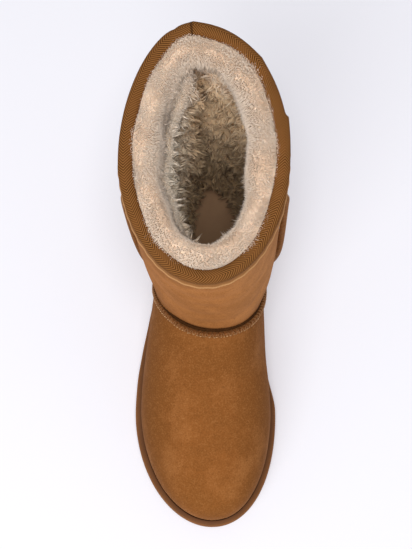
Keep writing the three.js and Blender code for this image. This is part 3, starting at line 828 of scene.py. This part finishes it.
PATH_STEPS = 240
SEAM_FOOT = 26.5 * MM  # where the throat seam goes down behind the sole's rim
SEAM_TOP = 109 * MM
valley = valley[valley[:, 2] > SEAM_FOOT]
side_of = np.where(valley[:, 0] < 3 * MM, -1, 1)
order = np.argsort(valley[:, 0] - side_of * 1.5 * (valley[:, 2] - SEAM_TOP))
valley = valley[order]
window = 9
padded = np.vstack([np.repeat(valley[:1], window, 0), valley, np.repeat(valley[-1:], window, 0)])
run = np.cumsum(padded, axis=0)
valley = (run[2 * window:] - run[:-2 * window]) / (2 * window)
throat_path = even_path(valley, PATH_STEPS, 60)
INSTEP_HEART = np.array([3.2, 37.2, 40]) * MM
throat_frame = path_frame(throat_path, throat_path - INSTEP_HEART)
share = np.linspace(0, 1, PATH_STEPS)
LOW_LATERAL, LOW_MEDIAL, TALL_FRONT = 1.3, 2.3, 6.6  # how far the throat's lips stand, mm
end_stand = np.where(share < 0.5, LOW_LATERAL, LOW_MEDIAL)
throat_stand = (end_stand + (TALL_FRONT - end_stand) * np.sin(share * math.pi) ** 11) * MM
print("throat seam, mm:", round(length_of(throat_path) / MM, 1), "from", (throat_path[0] / MM).round(1),
      "to", (throat_path[-1] / MM).round(1))

SIDE_SEAM_Y = (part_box("lateral_seam")[0].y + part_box("lateral_seam")[1].y) / 2
side_paths = {}
for side, way in (("lateral", -1), ("medial", 1)):
    low_corner, high_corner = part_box(f"{side}_seam")
    heights = np.linspace(low_corner.z, high_corner.z, 160)
    start = [Vector((0, SIDE_SEAM_Y, z)) for z in heights]
    line = np.array([skin_tree.ray_cast(p, Vector((way, 0, 0)))[0] for p in start])
    out = np.array([skin_tree.find_nearest(Vector(p))[1] for p in line])
    for _ in range(12):
        out[1:-1] = 0.5 * out[1:-1] + 0.25 * (out[:-2] + out[2:])
    line = even_path(line, 160, 30)
    side_paths[side] = (line, path_frame(line, out))
    print(side, "seam, mm:", round(length_of(line) / MM, 1))

# %% Two lips with a slit between them
LIPS = [
    (-2.5, 0.0), (-2.62, 0.45), (-2.55, 0.9), (-1.9, 1.0), (-1.1, 0.97), (-0.45, 0.88), (-0.16, 0.72),
    (-0.08, 0.5), (0.08, 0.5), (0.16, 0.72), (0.45, 0.88), (1.1, 0.97), (1.9, 1.0), (2.55, 0.9), (2.62, 0.45),
    (2.5, 0.0),
]  # across in mm, and up as a share of how far the lips stand
LIPS_AROUND, LIPS_GIRTH = 30, 12 * MM


def rounded_off(path, stand, radius):
    """How far a seam stands, brought down to the skin in a quarter circle at both its ends"""
    s = np.linspace(0, 1, len(path))
    from_end = np.clip(np.minimum(s, 1 - s) * length_of(path) / radius, 0, 1)
    return stand * (0.12 + 0.88 * np.sqrt(1 - (1 - from_end) ** 2))


def seam_points(path, frame_of_path, stand, sunk, leg_lip, s, t):
    across, up = profile_at(LIPS, t)
    here = at_share(path, s)
    _, out, side = (at_share(vectors, s) for vectors in frame_of_path)
    tall = at_share(stand, s)
    fray = 1 + 0.05 * np.sin(s * 437) * (up > 0.8) + 0.04 * np.sin(s * 173 + across * 3)
    across = across * (1 + 0.03 * np.sin(s * 301))
    up = up * np.where(across < 0, leg_lip, 1.0)
    rise = sunk + up * fray * (tall - sunk)
    return here + side * (across * MM)[:, None] + out * rise[:, None]


def make_seam(name, path, frame_of_path, stand, sunk, leg_lip, steps):
    def place(s, t):
        return seam_points(path, frame_of_path, stand, sunk, leg_lip, s, t)

    return new_piece(name, wrapped(name, steps, LIPS_AROUND, place, size=(length_of(path), LIPS_GIRTH)))


throat = make_seam("throat_seam_lips", throat_path, throat_frame, throat_stand, -0.2 * MM, 0.66, 220)
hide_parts("throat_seam")
SIDE_STAND = {"lateral": 2.7 * MM, "medial": 3.7 * MM}
side_seams, side_stands = [], {}
for side, (path, frame_of_path) in side_paths.items():
    side_stands[side] = rounded_off(path, np.full(len(path), SIDE_STAND[side]), 9 * MM)
    seam = make_seam(f"{side}_seam_lips", path, frame_of_path, side_stands[side], 0.1 * MM, 1.0, 180)
    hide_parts(f"{side}_seam")
    side_seams.append(seam)

# %% Overlock thread
THREAD = 0.17 * MM  # radius, a little stout so that it shows at the photo's distance
WRAP_PITCH = 1.5 * MM
TURN_STEPS, THREAD_SIDES = 12, 5


def overlock(name, path, frame_of_path, stand, span):
    """One thread that wraps the lips from root to root, leaning forward as it goes over"""
    middle_across, half_across = (span[0] + span[1]) / 2, (span[1] - span[0]) / 2
    wraps = int(length_of(path) / WRAP_PITCH)

    def thread_line(s):
        turns = s * wraps
        inside = turns - np.floor(turns)
        swing = np.where(np.floor(turns) % 2 == 0, inside, 1 - inside)
        sideways = np.clip((swing - 0.5) * 4.2, -1, 1)
        low = np.clip(np.abs(swing - 0.5) * 2, 0, 1)
        up = 1 - np.clip((low - 0.48) / 0.52, 0, 1) ** 1.3 * 0.72
        _, out, side = (at_share(vectors, s) for vectors in frame_of_path)
        crown = 0.22 * MM * (1 - sideways ** 4)
        across = (middle_across + half_across * sideways) * MM
        rise = at_share(stand, s) * up + crown
        return at_share(path, s) + side * across[:, None] + out * rise[:, None]

    def place(s, t):
        half_step = 0.5 / (wraps * TURN_STEPS)
        along = thread_line(np.clip(s + half_step, 0, 1)) - thread_line(np.clip(s - half_step, 0, 1))
        along /= np.linalg.norm(along, axis=1)[:, None] + 1e-12
        up = np.cross(along, at_share(frame_of_path[0], s))
        up /= np.linalg.norm(up, axis=1)[:, None] + 1e-12
        side = np.cross(along, up)
        angle = (t * 2 * math.pi)[:, None]
        return thread_line(s) + THREAD * (np.cos(angle) * side + np.sin(angle) * up)

    size = (wraps * 9 * MM, 2 * MM)
    return new_piece(name, wrapped(name, wraps * TURN_STEPS, THREAD_SIDES, place, size=size))


threads = [overlock("throat_overlock", throat_path, throat_frame, throat_stand, (0.0, 2.75))]
for side, (path, frame_of_path) in side_paths.items():
    threads.append(overlock(f"{side}_overlock", path, frame_of_path, side_stands[side], (-2.75, 2.75)))


# %% Rows of stitches beside the throat
def stitch_row(name, offset, spacing, length, width, slant, cover, on_lip=0.0):
    """Small rounded stitches that lie on the foot's skin beside the seam, or part of the way up its lip"""
    path, (along, out, side) = throat_path, throat_frame
    bm = bmesh.new()
    count = int(length_of(path) * (cover[1] - cover[0]) / spacing)
    uneven = np.random.default_rng(5)
    for i in range(count):
        slip, size = uneven.uniform(-0.25, 0.25), uneven.uniform(0.55, 1.2)
        where = np.array([cover[0] + (cover[1] - cover[0]) * (i + 0.5 + slip) / count])
        here = at_share(path, where)[0] + at_share(side, where)[0] * (offset + slip * 1.2 * MM)
        spot, normal, _, _ = skin_tree.find_nearest(Vector(here))
        if on_lip:
            normal = Vector(at_share(out, where)[0])
            spot = Vector(here) + normal * float(at_share(throat_stand, where)[0]) * on_lip
        way = Vector(at_share(along, where)[0])
        way = (way - normal * way.dot(normal)).normalized()
        way.rotate(Vector(normal).to_track_quat("Z", "Y").__class__(normal, slant))
        third = normal.cross(way)
        made = bmesh.ops.create_icosphere(bm, subdivisions=1, radius=0.5)["verts"]
        for vert in made:
            x, y, z = vert.co
            lift = z * width * 0.7 + 0.3 * MM
            vert.co = spot + way * (x * length * size) + third * (y * width) + normal * lift
    mesh = smooth_shaded(mesh_from(bm, name))
    return new_piece(name, mesh)


foot_side = 1 if np.mean(throat_frame[2][100:140, 1]) < 0 else -1
print("the foot lies across the seam at", foot_side)
stitches = [
    stitch_row("throat_stitches", foot_side * 2.6 * MM, 1.9 * MM, 1.6 * MM, 0.85 * MM, 0.6, (0.05, 0.95),
               on_lip=0.84),
    stitch_row("throat_chain", foot_side * 4.9 * MM, 3.1 * MM, 1.8 * MM, 0.45 * MM, -0.35, (0.42, 0.66)),
]
for seam in [throat, *side_seams, *threads, *stitches]:
    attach(seam, "root")
    print(seam.name, "faces:", len(seam.data.polygons))

# %% [markdown]
# The sole
# One light unit of foamed rubber: flat tread bars, a rounded lower edge, a groove along the side, a fine
# line under the top and a lip that hugs the suede. Its outline is the last's own: nearly straight along the
# lateral side, hollow at the arch, wide at the ball. A grid follows that outline once round, and its section
# runs from the middle of the underside, up the side, over the lip and back to the middle of the bed.

# %% The last's outline and heights
SOLE_LENGTH = 268  # mm; u runs forward from the back of the sole
TOE_TIP_X = 4
ROUNDS = {"heel_u": 42, "heel_power": 2.2, "toe_u": 186, "lateral": 1.93, "medial": 2.15}
SOLE_EDGE = np.array([
    # u, lateral x, medial x
    (42, -36, 36), (70, -36.2, 33.8), (95, -37.8, 32.2), (120, -42.4, 34.4), (145, -47.4, 40.8),
    (165, -50.4, 46.8), (186, -51.5, 50.8)])
GROUND = np.array([(0, 4), (12, 0), (74, 0), (92, 3), (112, 3), (132, 0), (198, 0), (236, 3.6), (268, 10)])
BED = np.array([(0, 21.5), (60, 20.5), (112, 17.5), (160, 14), (200, 13.5), (240, 17), (268, 22)])
COLUMN = {"lateral": 1, "medial": 2}
x_of_last = (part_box("outsole")[0].x + 51.4 * MM)
y_of_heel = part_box("outsole")[1].y


def curve_through(rows, column, u):
    """A smooth curve through the rows of a table that never overshoots them"""
    u = np.clip(u, rows[0, 0], rows[-1, 0])
    i = np.clip(np.searchsorted(rows[:, 0], u, side="right") - 1, 0, len(rows) - 2)
    span = np.diff(rows[:, 0])
    slope = np.diff(rows[:, column]) / span
    tangent = np.zeros(len(rows))
    same = slope[:-1] * slope[1:] > 0
    tangent[1:-1][same] = 2 * slope[:-1][same] * slope[1:][same] / (slope[:-1][same] + slope[1:][same])
    t = (u - rows[i, 0]) / span[i]
    rise = rows[i + 1, column] - rows[i, column]
    pull = t * (1 - t) * ((1 - t) * tangent[i] - t * tangent[i + 1]) * span[i]
    return rows[i, column] + rise * t * t * (3 - 2 * t) + pull


def sole_x(side, u):
    middle = curve_through(SOLE_EDGE, COLUMN[side], u)
    heel = np.clip(1 - u / ROUNDS["heel_u"], 0, 1)
    heel_x = SOLE_EDGE[0, COLUMN[side]] * (1 - heel ** ROUNDS["heel_power"]) ** (1 / ROUNDS["heel_power"])
    toe = np.clip((u - ROUNDS["toe_u"]) / (SOLE_LENGTH - ROUNDS["toe_u"]), 0, 1)
    toe_round = (1 - toe ** ROUNDS[side]) ** (1 / ROUNDS[side])
    toe_x = TOE_TIP_X + (SOLE_EDGE[-1, COLUMN[side]] - TOE_TIP_X) * toe_round
    return np.where(u < ROUNDS["heel_u"], heel_x, np.where(u > ROUNDS["toe_u"], toe_x, middle))


OUTLINE_STEPS = 150
stations = SOLE_LENGTH * (1 - np.cos(np.linspace(0, math.pi, OUTLINE_STEPS + 1))) / 2
lateral_line = np.column_stack([sole_x("lateral", stations), stations])
medial_line = np.column_stack([sole_x("medial", stations), stations])
outline = np.vstack([medial_line[:-1], lateral_line[:0:-1]])  # to the toe and back on the lateral side
ahead, behind = np.roll(outline, -1, 0), np.roll(outline, 1, 0)
outline_way = np.column_stack([(ahead - behind)[:, 1], -(ahead - behind)[:, 0]])
outline_way /= np.linalg.norm(outline_way, axis=1)[:, None]
middle_line = np.column_stack([(lateral_line[:, 0] + medial_line[:, 0]) / 2, stations])
spine = np.vstack([middle_line[:-1], middle_line[:0:-1]])

# how far in from the sole's edge the suede stands, all the way round
lip_room = np.empty(len(outline))
for i, ((x, u), (nx, nu)) in enumerate(zip(outline, outline_way)):
    z = float(curve_through(BED, 1, np.array([u]))[0] + 1.5) * MM
    start = Vector((x * MM + x_of_last + nx * 5 * MM, y_of_heel - u * MM - nu * 5 * MM, z))
    hit = skin_tree.ray_cast(start, Vector((-nx, nu, 0)))
    lip_room[i] = hit[3] / MM - 5 if hit[0] else 6
for _ in range(10):
    lip_room = 0.5 * lip_room + 0.25 * (np.roll(lip_room, 1) + np.roll(lip_room, -1))
print("suede stands in from the sole's edge, mm:", lip_room.min().round(1), "to", lip_room.max().round(1))

# %% Wrap the sole
LUG, BAR_INSET = 2.2, 6.0  # how far the bars stand out of the sole, and in from its edge, mm
SOLE_SIDE = [
    # (height share, out in mm) from the underside's edge to the lip
    (0.0, -6.0), (0.0, -3.4), (0.02, -2.2), (0.07, -1.0), (0.15, -0.25), (0.27, 0.0), (0.325, -0.05),
    (0.345, -0.7), (0.365, -1.1), (0.385, -0.7), (0.405, -0.05), (0.47, 0.1), (0.62, 0.15), (0.775, 0.05),
    (0.79, -0.45), (0.805, -0.05), (0.87, 0.0), (0.93, -0.15), (0.975, -0.6), (1.0, -1.4),
]
SECTION_ROWS = [
    ("under", 0.0), ("under", 0.4), ("under", 0.8), *[("side", corner) for corner in SOLE_SIDE],
    ("lip", (1.0, 1.3)), ("lip", (0.99, 0.75)), ("lip", (0.94, 0.45)), ("lip", (0.8, 0.35)),
    ("bed", 0.96), ("bed", 0.5), ("bed", 0.0)]


def sole_points(s, t):
    rows = np.rint(t * (len(SECTION_ROWS) - 1)).astype(int)
    columns = np.rint(s * len(outline)).astype(int) % len(outline)
    edge, way, middle, room = outline[columns], outline_way[columns], spine[columns], lip_room[columns]
    u = edge[:, 1]
    low = curve_through(GROUND, 1, u) + LUG
    bed = curve_through(BED, 1, u)
    high = bed + 3
    plan, z = np.empty((len(s), 2)), np.empty(len(s))
    for row, (kind, value) in enumerate(SECTION_ROWS):
        mine = rows == row
        if kind == "side":
            share_up, out = value
            plan[mine] = edge[mine] + way[mine] * out
            z[mine] = low[mine] + (high - low)[mine] * share_up
        elif kind == "lip":
            share_up, gap = value
            plan[mine] = edge[mine] - way[mine] * (room[mine] - gap)[:, None]
            z[mine] = low[mine] + (high - low)[mine] * share_up
        else:
            inset = room[mine] if kind == "bed" else np.full(mine.sum(), BAR_INSET)
            inner = edge[mine] - way[mine] * inset[:, None]
            plan[mine] = middle[mine] + (inner - middle[mine]) * value
            z[mine] = (bed - 0.1)[mine] if kind == "bed" else low[mine]
    return np.column_stack([plan[:, 0] * MM + x_of_last, y_of_heel - plan[:, 1] * MM, z * MM])


BAR = {"length": 8.0, "pitch": 12.5, "slant": 0.16, "split": 1.5, "tall": 3.4}
TREADS = ((13, 70), (128, 252))  # where the bars stand under heel and ball, from the back of the sole


def tread_bar(u, side, way):
    """One low bar of the chevron: a cube, rounded and stretched, that follows the ground line"""
    bm = bmesh.new()
    bmesh.ops.create_cube(bm, size=1.0)
    long_edges = [e for e in bm.edges if abs(e.verts[0].co.x - e.verts[1].co.x) > 0.5]
    bmesh.ops.subdivide_edges(bm, edges=long_edges, cuts=6, use_grid_fill=True)
    for vert in bm.verts:
        vert.co.z *= 0.4
    sharp = [e for e in bm.edges if len(e.link_faces) == 2 and e.calc_face_angle(0) > 1]
    bmesh.ops.bevel(bm, geom=sharp, offset=0.06, segments=2, profile=0.5, affect="EDGES", material=-1)
    reach = abs(float(sole_x(side, np.array([u]))[0])) - BAR_INSET
    for vert in bm.verts:
        x, along, up = vert.co
        across = BAR["split"] + (x + 0.5) * (reach - BAR["split"])
        at_u = u + along * BAR["length"] * (1 - 0.12 * (x + 0.5) ** 4)
        at_u -= BAR["slant"] * (across - 2 * BAR["split"])
        ground = float(curve_through(GROUND, 1, np.array([at_u]))[0])
        z = (ground + (up + 0.2) * BAR["tall"] / 0.4) * MM
        vert.co = (way * across * MM + x_of_last, y_of_heel - at_u * MM, z)
    return mesh_from(bm, "bar")


sole_mesh = wrapped("foam_sole", len(outline), len(SECTION_ROWS) - 1, sole_points, ring=True, tube=False)
bars = bmesh.new()
bars.from_mesh(sole_mesh)
for start, stop in TREADS:
    for u in np.arange(start, stop + 0.1, BAR["pitch"]):
        for side, way in (("lateral", -1), ("medial", 1)):
            bars.from_mesh(tread_bar(u, side, way))
bmesh.ops.recalc_face_normals(bars, faces=bars.faces)
bars.to_mesh(sole_mesh)
print("sole: open edges", sum(1 for e in bars.edges if e.is_boundary), "faces", len(bars.faces))
bars.free()
sole = new_piece("foam_sole", smooth_shaded(sole_mesh, 50))
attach(sole, "root")
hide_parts("outsole")

# %% [markdown]
# The insole
# The sock is a plain sheet of brown leather on the sole's bed, and the CAD solid has its right shape, so that
# node stays and only gets its finish.

# %% The insole
insole = frame["nodes"]["insole"]

# %% [markdown]
# Suede
# Suede is the flesh side of the skin, buffed to a short nap. It has no gloss. The nap scatters light at
# grazing angles, which sheen gives, and it lies one way here and another there, which leaves soft darker and
# lighter clouds and a fine speckle. Seen close, it is a mat of fibres, so the bump is a fine noise.

# %% Suede finish
suede, shader = new_finish(
    "suede_brushed_sheepskin", 0.93, Specular_IOR_Level=0.08, Sheen_Weight=0.1, Sheen_Roughness=0.45,
    Sheen_Tint=linear("#d79a66"))
spot = add_node(suede, "TexCoord").outputs["Object"]
# the nap's fibres are about 0.1 mm; they are drawn near 1 mm, the finest that the photo's distance shows
GRAIN = ((28, 4.0, 0.6), (4, 4.0, 0.75), (1.0, 1.0, 0.8))  # size in mm, detail, roughness
clouds, mottle, speckle = [
    add_node(suede, "TexNoise", {
        "Vector": spot, "Scale": per_size(size), "Detail": detail, "Roughness": rough}).outputs[0]
    for size, detail, rough in GRAIN]
to_medial, to_back, level = add_node(suede, "SeparateXYZ", {0: spot}).outputs
# the leg panel is lighter than the foot: above the throat, and behind it down to the heel. This is partly its
# nap, which lies another way, and partly painted light on the shaft
shares = [
    add_node(suede, "MapRange", {
        "Value": value, "From Min": begins * MM, "From Max": whole * MM, "To Max": most}).outputs[0]
    for value, begins, whole, most in ((level, 95, 135, 1.0), (to_back, 20, 75, 0.8))]
leg_share = add_node(suede, "Math", {0: shares[0], 1: shares[1]}, operation="MAXIMUM").outputs[0]
across = add_node(suede, "Math", {0: to_medial, 1: 0.5 * MM}, operation="SUBTRACT").outputs[0]
painted_shade_aside = add_node(suede, "Math", {0: across}, operation="ABSOLUTE").outputs[0]
on_foot = (level, 112 * MM, 95 * MM)
painted_edge_highlight = add_node(suede, "Attribute", attribute_name="painted_edge_highlight").outputs["Fac"]
colour = tinted(suede, linear("#945a2a"), [
    ("#b2743e", 1.0, (leg_share, 0, 1)),
    # painted shade down both sides of the foot, deeper away from its middle
    ("#794a22", 0.9, (painted_shade_aside, 12 * MM, 40 * MM), on_foot),
    # painted shade on the instep below the throat seam
    ("#7b4a20", 0.8, (level, 70 * MM, 102 * MM), on_foot),
    # painted shade on the toe
    ("#7e4d1e", 0.3, (to_back, -95 * MM, -135 * MM)),
    # painted light on the medial side of the shaft, just above the throat
    ("#d29762", 0.28, (to_medial, 10 * MM, 34 * MM), (level, 112 * MM, 128 * MM)),
    ("#7d4d22", 0.45, (clouds, 0.40, 0.60)),
    ("#ad7442", 0.3, (clouds, 0.48, 0.34)),
    ("#ac7543", 0.28, (mottle, 0.52, 0.74)),
    ("#6c401a", 0.3, (mottle, 0.46, 0.30)),
    ("#643c1a", 0.32, (speckle, 0.50, 0.30)),
    ("#b47f4c", 0.26, (speckle, 0.54, 0.74)),
    # painted shade low on the suede, near the sole
    ("#6b4122", 0.25, (level, 34 * MM, 20 * MM)),
    # painted highlight along the suede's lower edge
    ("#c28c5e", 0.6, (painted_edge_highlight, 0.2, 0.9)),
])
relief = add_node(suede, "Math", {0: mottle, 1: 0.6, 2: speckle}, operation="MULTIPLY_ADD").outputs[0]
surfaced(suede, shader, colour, relief, 0.45, 0.4 * MM)
cover_with(suede, upper)

# %% [markdown]
# Raw suede edge and thread
# Where the skin is cut, its edge is darker and hairier than its face. The overlock thread is polyester in a
# slightly lighter tan, with a soft gloss.

# %% Edge and thread finishes
raw_edge, shader = new_finish("suede_cut_edge", 0.95, Specular_IOR_Level=0.04)
spot = add_node(raw_edge, "TexCoord").outputs["Object"]
fray = add_node(raw_edge, "TexNoise", {
    "Vector": spot, "Scale": per_size(1.6), "Detail": 3.0, "Roughness": 0.8}).outputs[0]
across = add_node(raw_edge, "SeparateXYZ", {0: add_node(raw_edge, "TexCoord").outputs["UV"]}).outputs["Y"]
# the second tint is painted shadow: the leg-side lip is made nearly black, for the shade of the groove under
# the shaft's edge
colour = tinted(raw_edge, linear("#5f3a1c"), [
    ("#946036", 1.0, (fray, 0.35, 0.65)), ("#2e1a0a", 0.85, (across, 3.9 * MM, 3.2 * MM))])
surfaced(raw_edge, shader, colour, fray, 0.6, 0.5 * MM)
cover_with(raw_edge, throat)

side_edge, shader = new_finish("suede_folded_edge", 0.95, Specular_IOR_Level=0.08)
spot = add_node(side_edge, "TexCoord").outputs["Object"]
fray = add_node(side_edge, "TexNoise", {
    "Vector": spot, "Scale": per_size(2.2), "Detail": 3.0, "Roughness": 0.7}).outputs[0]
surfaced(side_edge, shader, tinted(side_edge, linear("#74481f"), [("#a26b3b", 1.0, (fray, 0.35, 0.65))]))
cover_with(side_edge, *side_seams)

tan_thread, shader = new_finish("polyester_thread_tan", 0.6)
spot = add_node(tan_thread, "TexCoord").outputs["UV"]
ply = add_node(tan_thread, "TexWave", {"Vector": spot, "Scale": 900.0}, bands_direction="DIAGONAL")
colour = tinted(tan_thread, linear("#7d4f2a"), [("#ab7b4a", 1.0, (ply.outputs["Fac"], 0, 1))])
surfaced(tan_thread, shader, colour)
cover_with(tan_thread, *threads)
light_thread, _ = new_finish("polyester_thread_light", 0.6, Base_Color=linear("#cb9d69"))
cover_with(light_thread, stitches[0])
rust_thread, _ = new_finish("polyester_thread_rust", 0.65, Base_Color=linear("#8a4c26"))
cover_with(rust_thread, stitches[1])

# %% [markdown]
# Herringbone tape
# Herringbone is a twill whose diagonal changes direction every few threads, so the tape shows columns of
# short slanting ribs that meet in points. The tape's UV map is in metres, so the ribs are drawn as a wave
# whose phase runs along the tape and is pushed by a triangle wave across it.

# %% Tape finish
# real ribs are some 0.9 mm apart; they are drawn at 1.7 mm so that they show at the photo's distance
RIB, COLUMN_WIDTH = 1.7 * MM, 4.6 * MM
RIB_SLANT = 1.15
cotton, shader = new_finish("cotton_herringbone_tape", 0.9, Specular_IOR_Level=0.06)
along, up, _ = add_node(cotton, "SeparateXYZ", {0: add_node(cotton, "TexCoord").outputs["UV"]}).outputs
across = add_node(cotton, "Math", {0: up, 1: COLUMN_WIDTH}, operation="PINGPONG").outputs[0]
slanted = add_node(cotton, "Math", {0: across, 1: RIB_SLANT, 2: along}, operation="MULTIPLY_ADD").outputs[0]
phase = add_node(cotton, "Math", {0: slanted, 1: 2 * math.pi / RIB}, operation="MULTIPLY").outputs[0]
rib = add_node(cotton, "Math", {0: phase}, operation="SINE").outputs[0]
rib_share = add_node(cotton, "MapRange", {"Value": rib, "From Min": -0.45, "From Max": 0.7}).outputs[0]
spot = add_node(cotton, "TexCoord").outputs["Object"]
fade = add_node(cotton, "TexNoise", {"Vector": spot, "Scale": per_size(9), "Detail": 3.0}).outputs[0]
past_join = add_node(cotton, "Math", {0: along, 1: JOIN_SHARE * COLLAR_LENGTH}, operation="SUBTRACT")
from_join = add_node(cotton, "Math", {0: past_join.outputs[0]}, operation="ABSOLUTE").outputs[0]
colour = tinted(cotton, linear("#4b2c12"), [
    ("#946435", 1.0, (rib_share, 0, 1)),
    ("#82532b", 0.5, (fade, 0.35, 0.7)),
    ("#b47d49", 0.55, (up, 9 * MM, 5 * MM)),  # the outer leg, painted lighter: painted light on its lower part
    ("#cf9c68", 0.9, (up, 2.6 * MM, 1.9 * MM)),  # the selvedge, with a painted highlight along the tape's lower edge
    ("#2f1a0b", 0.7, (from_join, 1.2 * MM, 0.4 * MM)),
])
surfaced(cotton, shader, colour, rib_share, 0.4, 0.3 * MM)
cover_with(cotton, tape)

# %% [markdown]
# Wool
# Sheep's wool is a mat, cream coloured fibre that lets some light through. Its tips are bleached and its
# roots are browner. Deep in the boot the colour is painted darker and greyer, a painted shade for the dim
# inside of the shaft. The locks carry their reach as an attribute, so the root and tip colours follow each
# lock.

# %% Wool finish
def wool_finish(name, root_colour, tip_colour, let_through):
    fleece, shader = new_finish(
        name, 0.9, Sheen_Weight=0.1, Sheen_Roughness=0.6, Specular_IOR_Level=0.06,
        Subsurface_Weight=let_through, Subsurface_Radius=(1.0, 0.85, 0.7), Subsurface_Scale=1.2 * MM)
    spot = add_node(fleece, "TexCoord").outputs["Object"]
    to_medial, _, level = add_node(fleece, "SeparateXYZ", {0: spot}).outputs
    reach = add_node(fleece, "Attribute", attribute_name="reach").outputs["Fac"]
    patch = add_node(fleece, "TexNoise", {"Vector": spot, "Scale": per_size(8), "Detail": 3.0}).outputs[0]
    colour = tinted(fleece, linear(root_colour), [
        (tip_colour, 1.0, (reach, 0, 1)),
        ("#e0c4a8", 0.35, (patch, 0.42, 0.7)),
        ("#e6c69c", 0.85, (level, 219 * MM, 196 * MM)),
        # painted shade: the wool is made darker and greyer deep in the shaft
        ("#a8875f", 0.8, (level, 150 * MM, 60 * MM)),
        # the lateral wall has the longest wool, and it is painted lighter: painted light on the wall below
        # the roll
        ("#fff3df", 0.8, (to_medial, -6 * MM, -20 * MM), (level, 90 * MM, 150 * MM),
         (level, 225 * MM, 214 * MM)),
    ])
    fibre = add_node(fleece, "TexNoise", {
        "Vector": spot, "Scale": per_size(1.2), "Detail": 3.0, "Roughness": 0.7}).outputs[0]
    surfaced(fleece, shader, colour, fibre, 0.4, 0.4 * MM)
    return fleece


cover_with(wool_finish("sheep_wool_mat", "#f3dcc4", "#f3dcc4", 0.4), wool)
cover_with(wool_finish("sheep_wool_tips", "#fae4cd", "#fcebd9", 0.1), *coats)

# %% [markdown]
# Foam sole and leather sock
# The sole is a foamed rubber, dyed through: mat, with a fine pebble from the mould. It is a shade darker than
# the suede, with lighter patches here and there. Its side is painted lighter, a painted highlight on its
# outer edge, and its lip darker, a painted shade where it meets the suede. The sock is smooth brown leather.

# %% Sole and sock finishes
foam, shader = new_finish("foamed_rubber_brown", 0.7, Specular_IOR_Level=0.3)
spot = add_node(foam, "TexCoord").outputs["Object"]
pebble = add_node(foam, "TexNoise", {"Vector": spot, "Scale": per_size(1.4), "Detail": 2.0}).outputs[0]
rubbed = add_node(foam, "TexNoise", {"Vector": spot, "Scale": per_size(14), "Detail": 3.0}).outputs[0]
section = add_node(foam, "SeparateXYZ", {0: add_node(foam, "TexCoord").outputs["UV"]}).outputs["Y"]
colour = tinted(foam, linear("#6e431f"), [
    ("#835329", 0.6, (rubbed, 0.4, 0.7)),
    ("#4e2e14", 0.35, (pebble, 0.45, 0.3)),
    ("#a36b38", 0.05),  # a little all over, and more on the side than on the lip, where it is a painted highlight
    ("#a36b38", 0.474, (section, 0.76, 0.68)),
    # painted shade on the lip and the bed, where the sole meets the suede
    ("#4d2c12", 0.75, (section, 0.74, 0.82)),
])
surfaced(foam, shader, colour, pebble, 0.3, 0.25 * MM)
cover_with(foam, sole)

sock, shader = new_finish("leather_sock_brown", 0.75)
spot = add_node(sock, "TexCoord").outputs["Object"]
grain = add_node(sock, "TexVoronoi", {"Vector": spot, "Scale": per_size(1.5)}).outputs["Distance"]
wear = add_node(sock, "TexNoise", {"Vector": spot, "Scale": per_size(16), "Detail": 3.0}).outputs[0]
colour = tinted(sock, linear("#8f6b4c"), [("#ad8762", 1.0, (wear, 0, 1))])
surfaced(sock, shader, colour, grain, 0.2, 0.2 * MM)
cover_with(sock, insole)

# %% [markdown]
# Floor, light and camera
# The photo is a plain catalogue picture: nearly white ground, soft light from the front and above, hardly a
# shadow. So the floor is pale and mat, the world gives most of the light, one large lamp in front of the toe
# models the forms, and a small one above it reaches down the shaft. The camera stands where the photo's did,
# above the toe, tipped 14 degrees.

# %% Floor and light
bm = bmesh.new()
bmesh.ops.create_grid(bm, x_segments=1, y_segments=1, size=6)
floor = new_piece("floor", mesh_from(bm, "floor"))
paper, _ = new_finish(
    "paper_ground", 0.95, Base_Color=linear("#e0e0e6"), Specular_IOR_Level=0.0,
    Emission_Color=linear("#f8f7fd"), Emission_Strength=0.24)
cover_with(paper, floor)
floor.location.z = -0.3 * MM
floor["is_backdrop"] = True

world = bpy.data.worlds.new("studio")
bpy.context.scene.world = world
world.use_nodes = True
sky = world.node_tree.nodes["Background"].inputs
sky["Color"].default_value = linear("#fbfbff")
sky["Strength"].default_value = 0.36


def lamp(name, place, target, size, watts):
    data = bpy.data.lights.new(name, "AREA")
    data.shape, data.size, data.energy = "DISK", size, watts
    light = bpy.data.objects.new(name, data)
    light.location = place
    light.rotation_euler = (Vector(target) - Vector(place)).to_track_quat("-Z", "Y").to_euler()
    bpy.context.scene.collection.objects.link(light)


lamp("key_from_front", (-0.45, -1.1, 1.5), (0, 0, 0.1), 1.2, 14)
lamp("down_the_shaft", (0.02, -0.34, 1.9), (0, 0, 0.1), 0.6, 15)

# %% Camera
CAMERA_TIP = 14.01  # degrees from straight down
camera = bpy.data.objects.new("photo_camera", bpy.data.cameras.new("photo_camera"))
bpy.context.scene.collection.objects.link(camera)
camera.data.lens = 74.155
camera.data.sensor_width = 36
camera.location = (0.0002, -0.16127, 0.8428)
camera.rotation_euler = (math.radians(CAMERA_TIP), 0, 0)
bpy.context.scene.camera = camera
bpy.context.scene.view_settings.view_transform = "Standard"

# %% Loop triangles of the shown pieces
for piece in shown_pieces():
    piece.data.calc_loop_triangles()
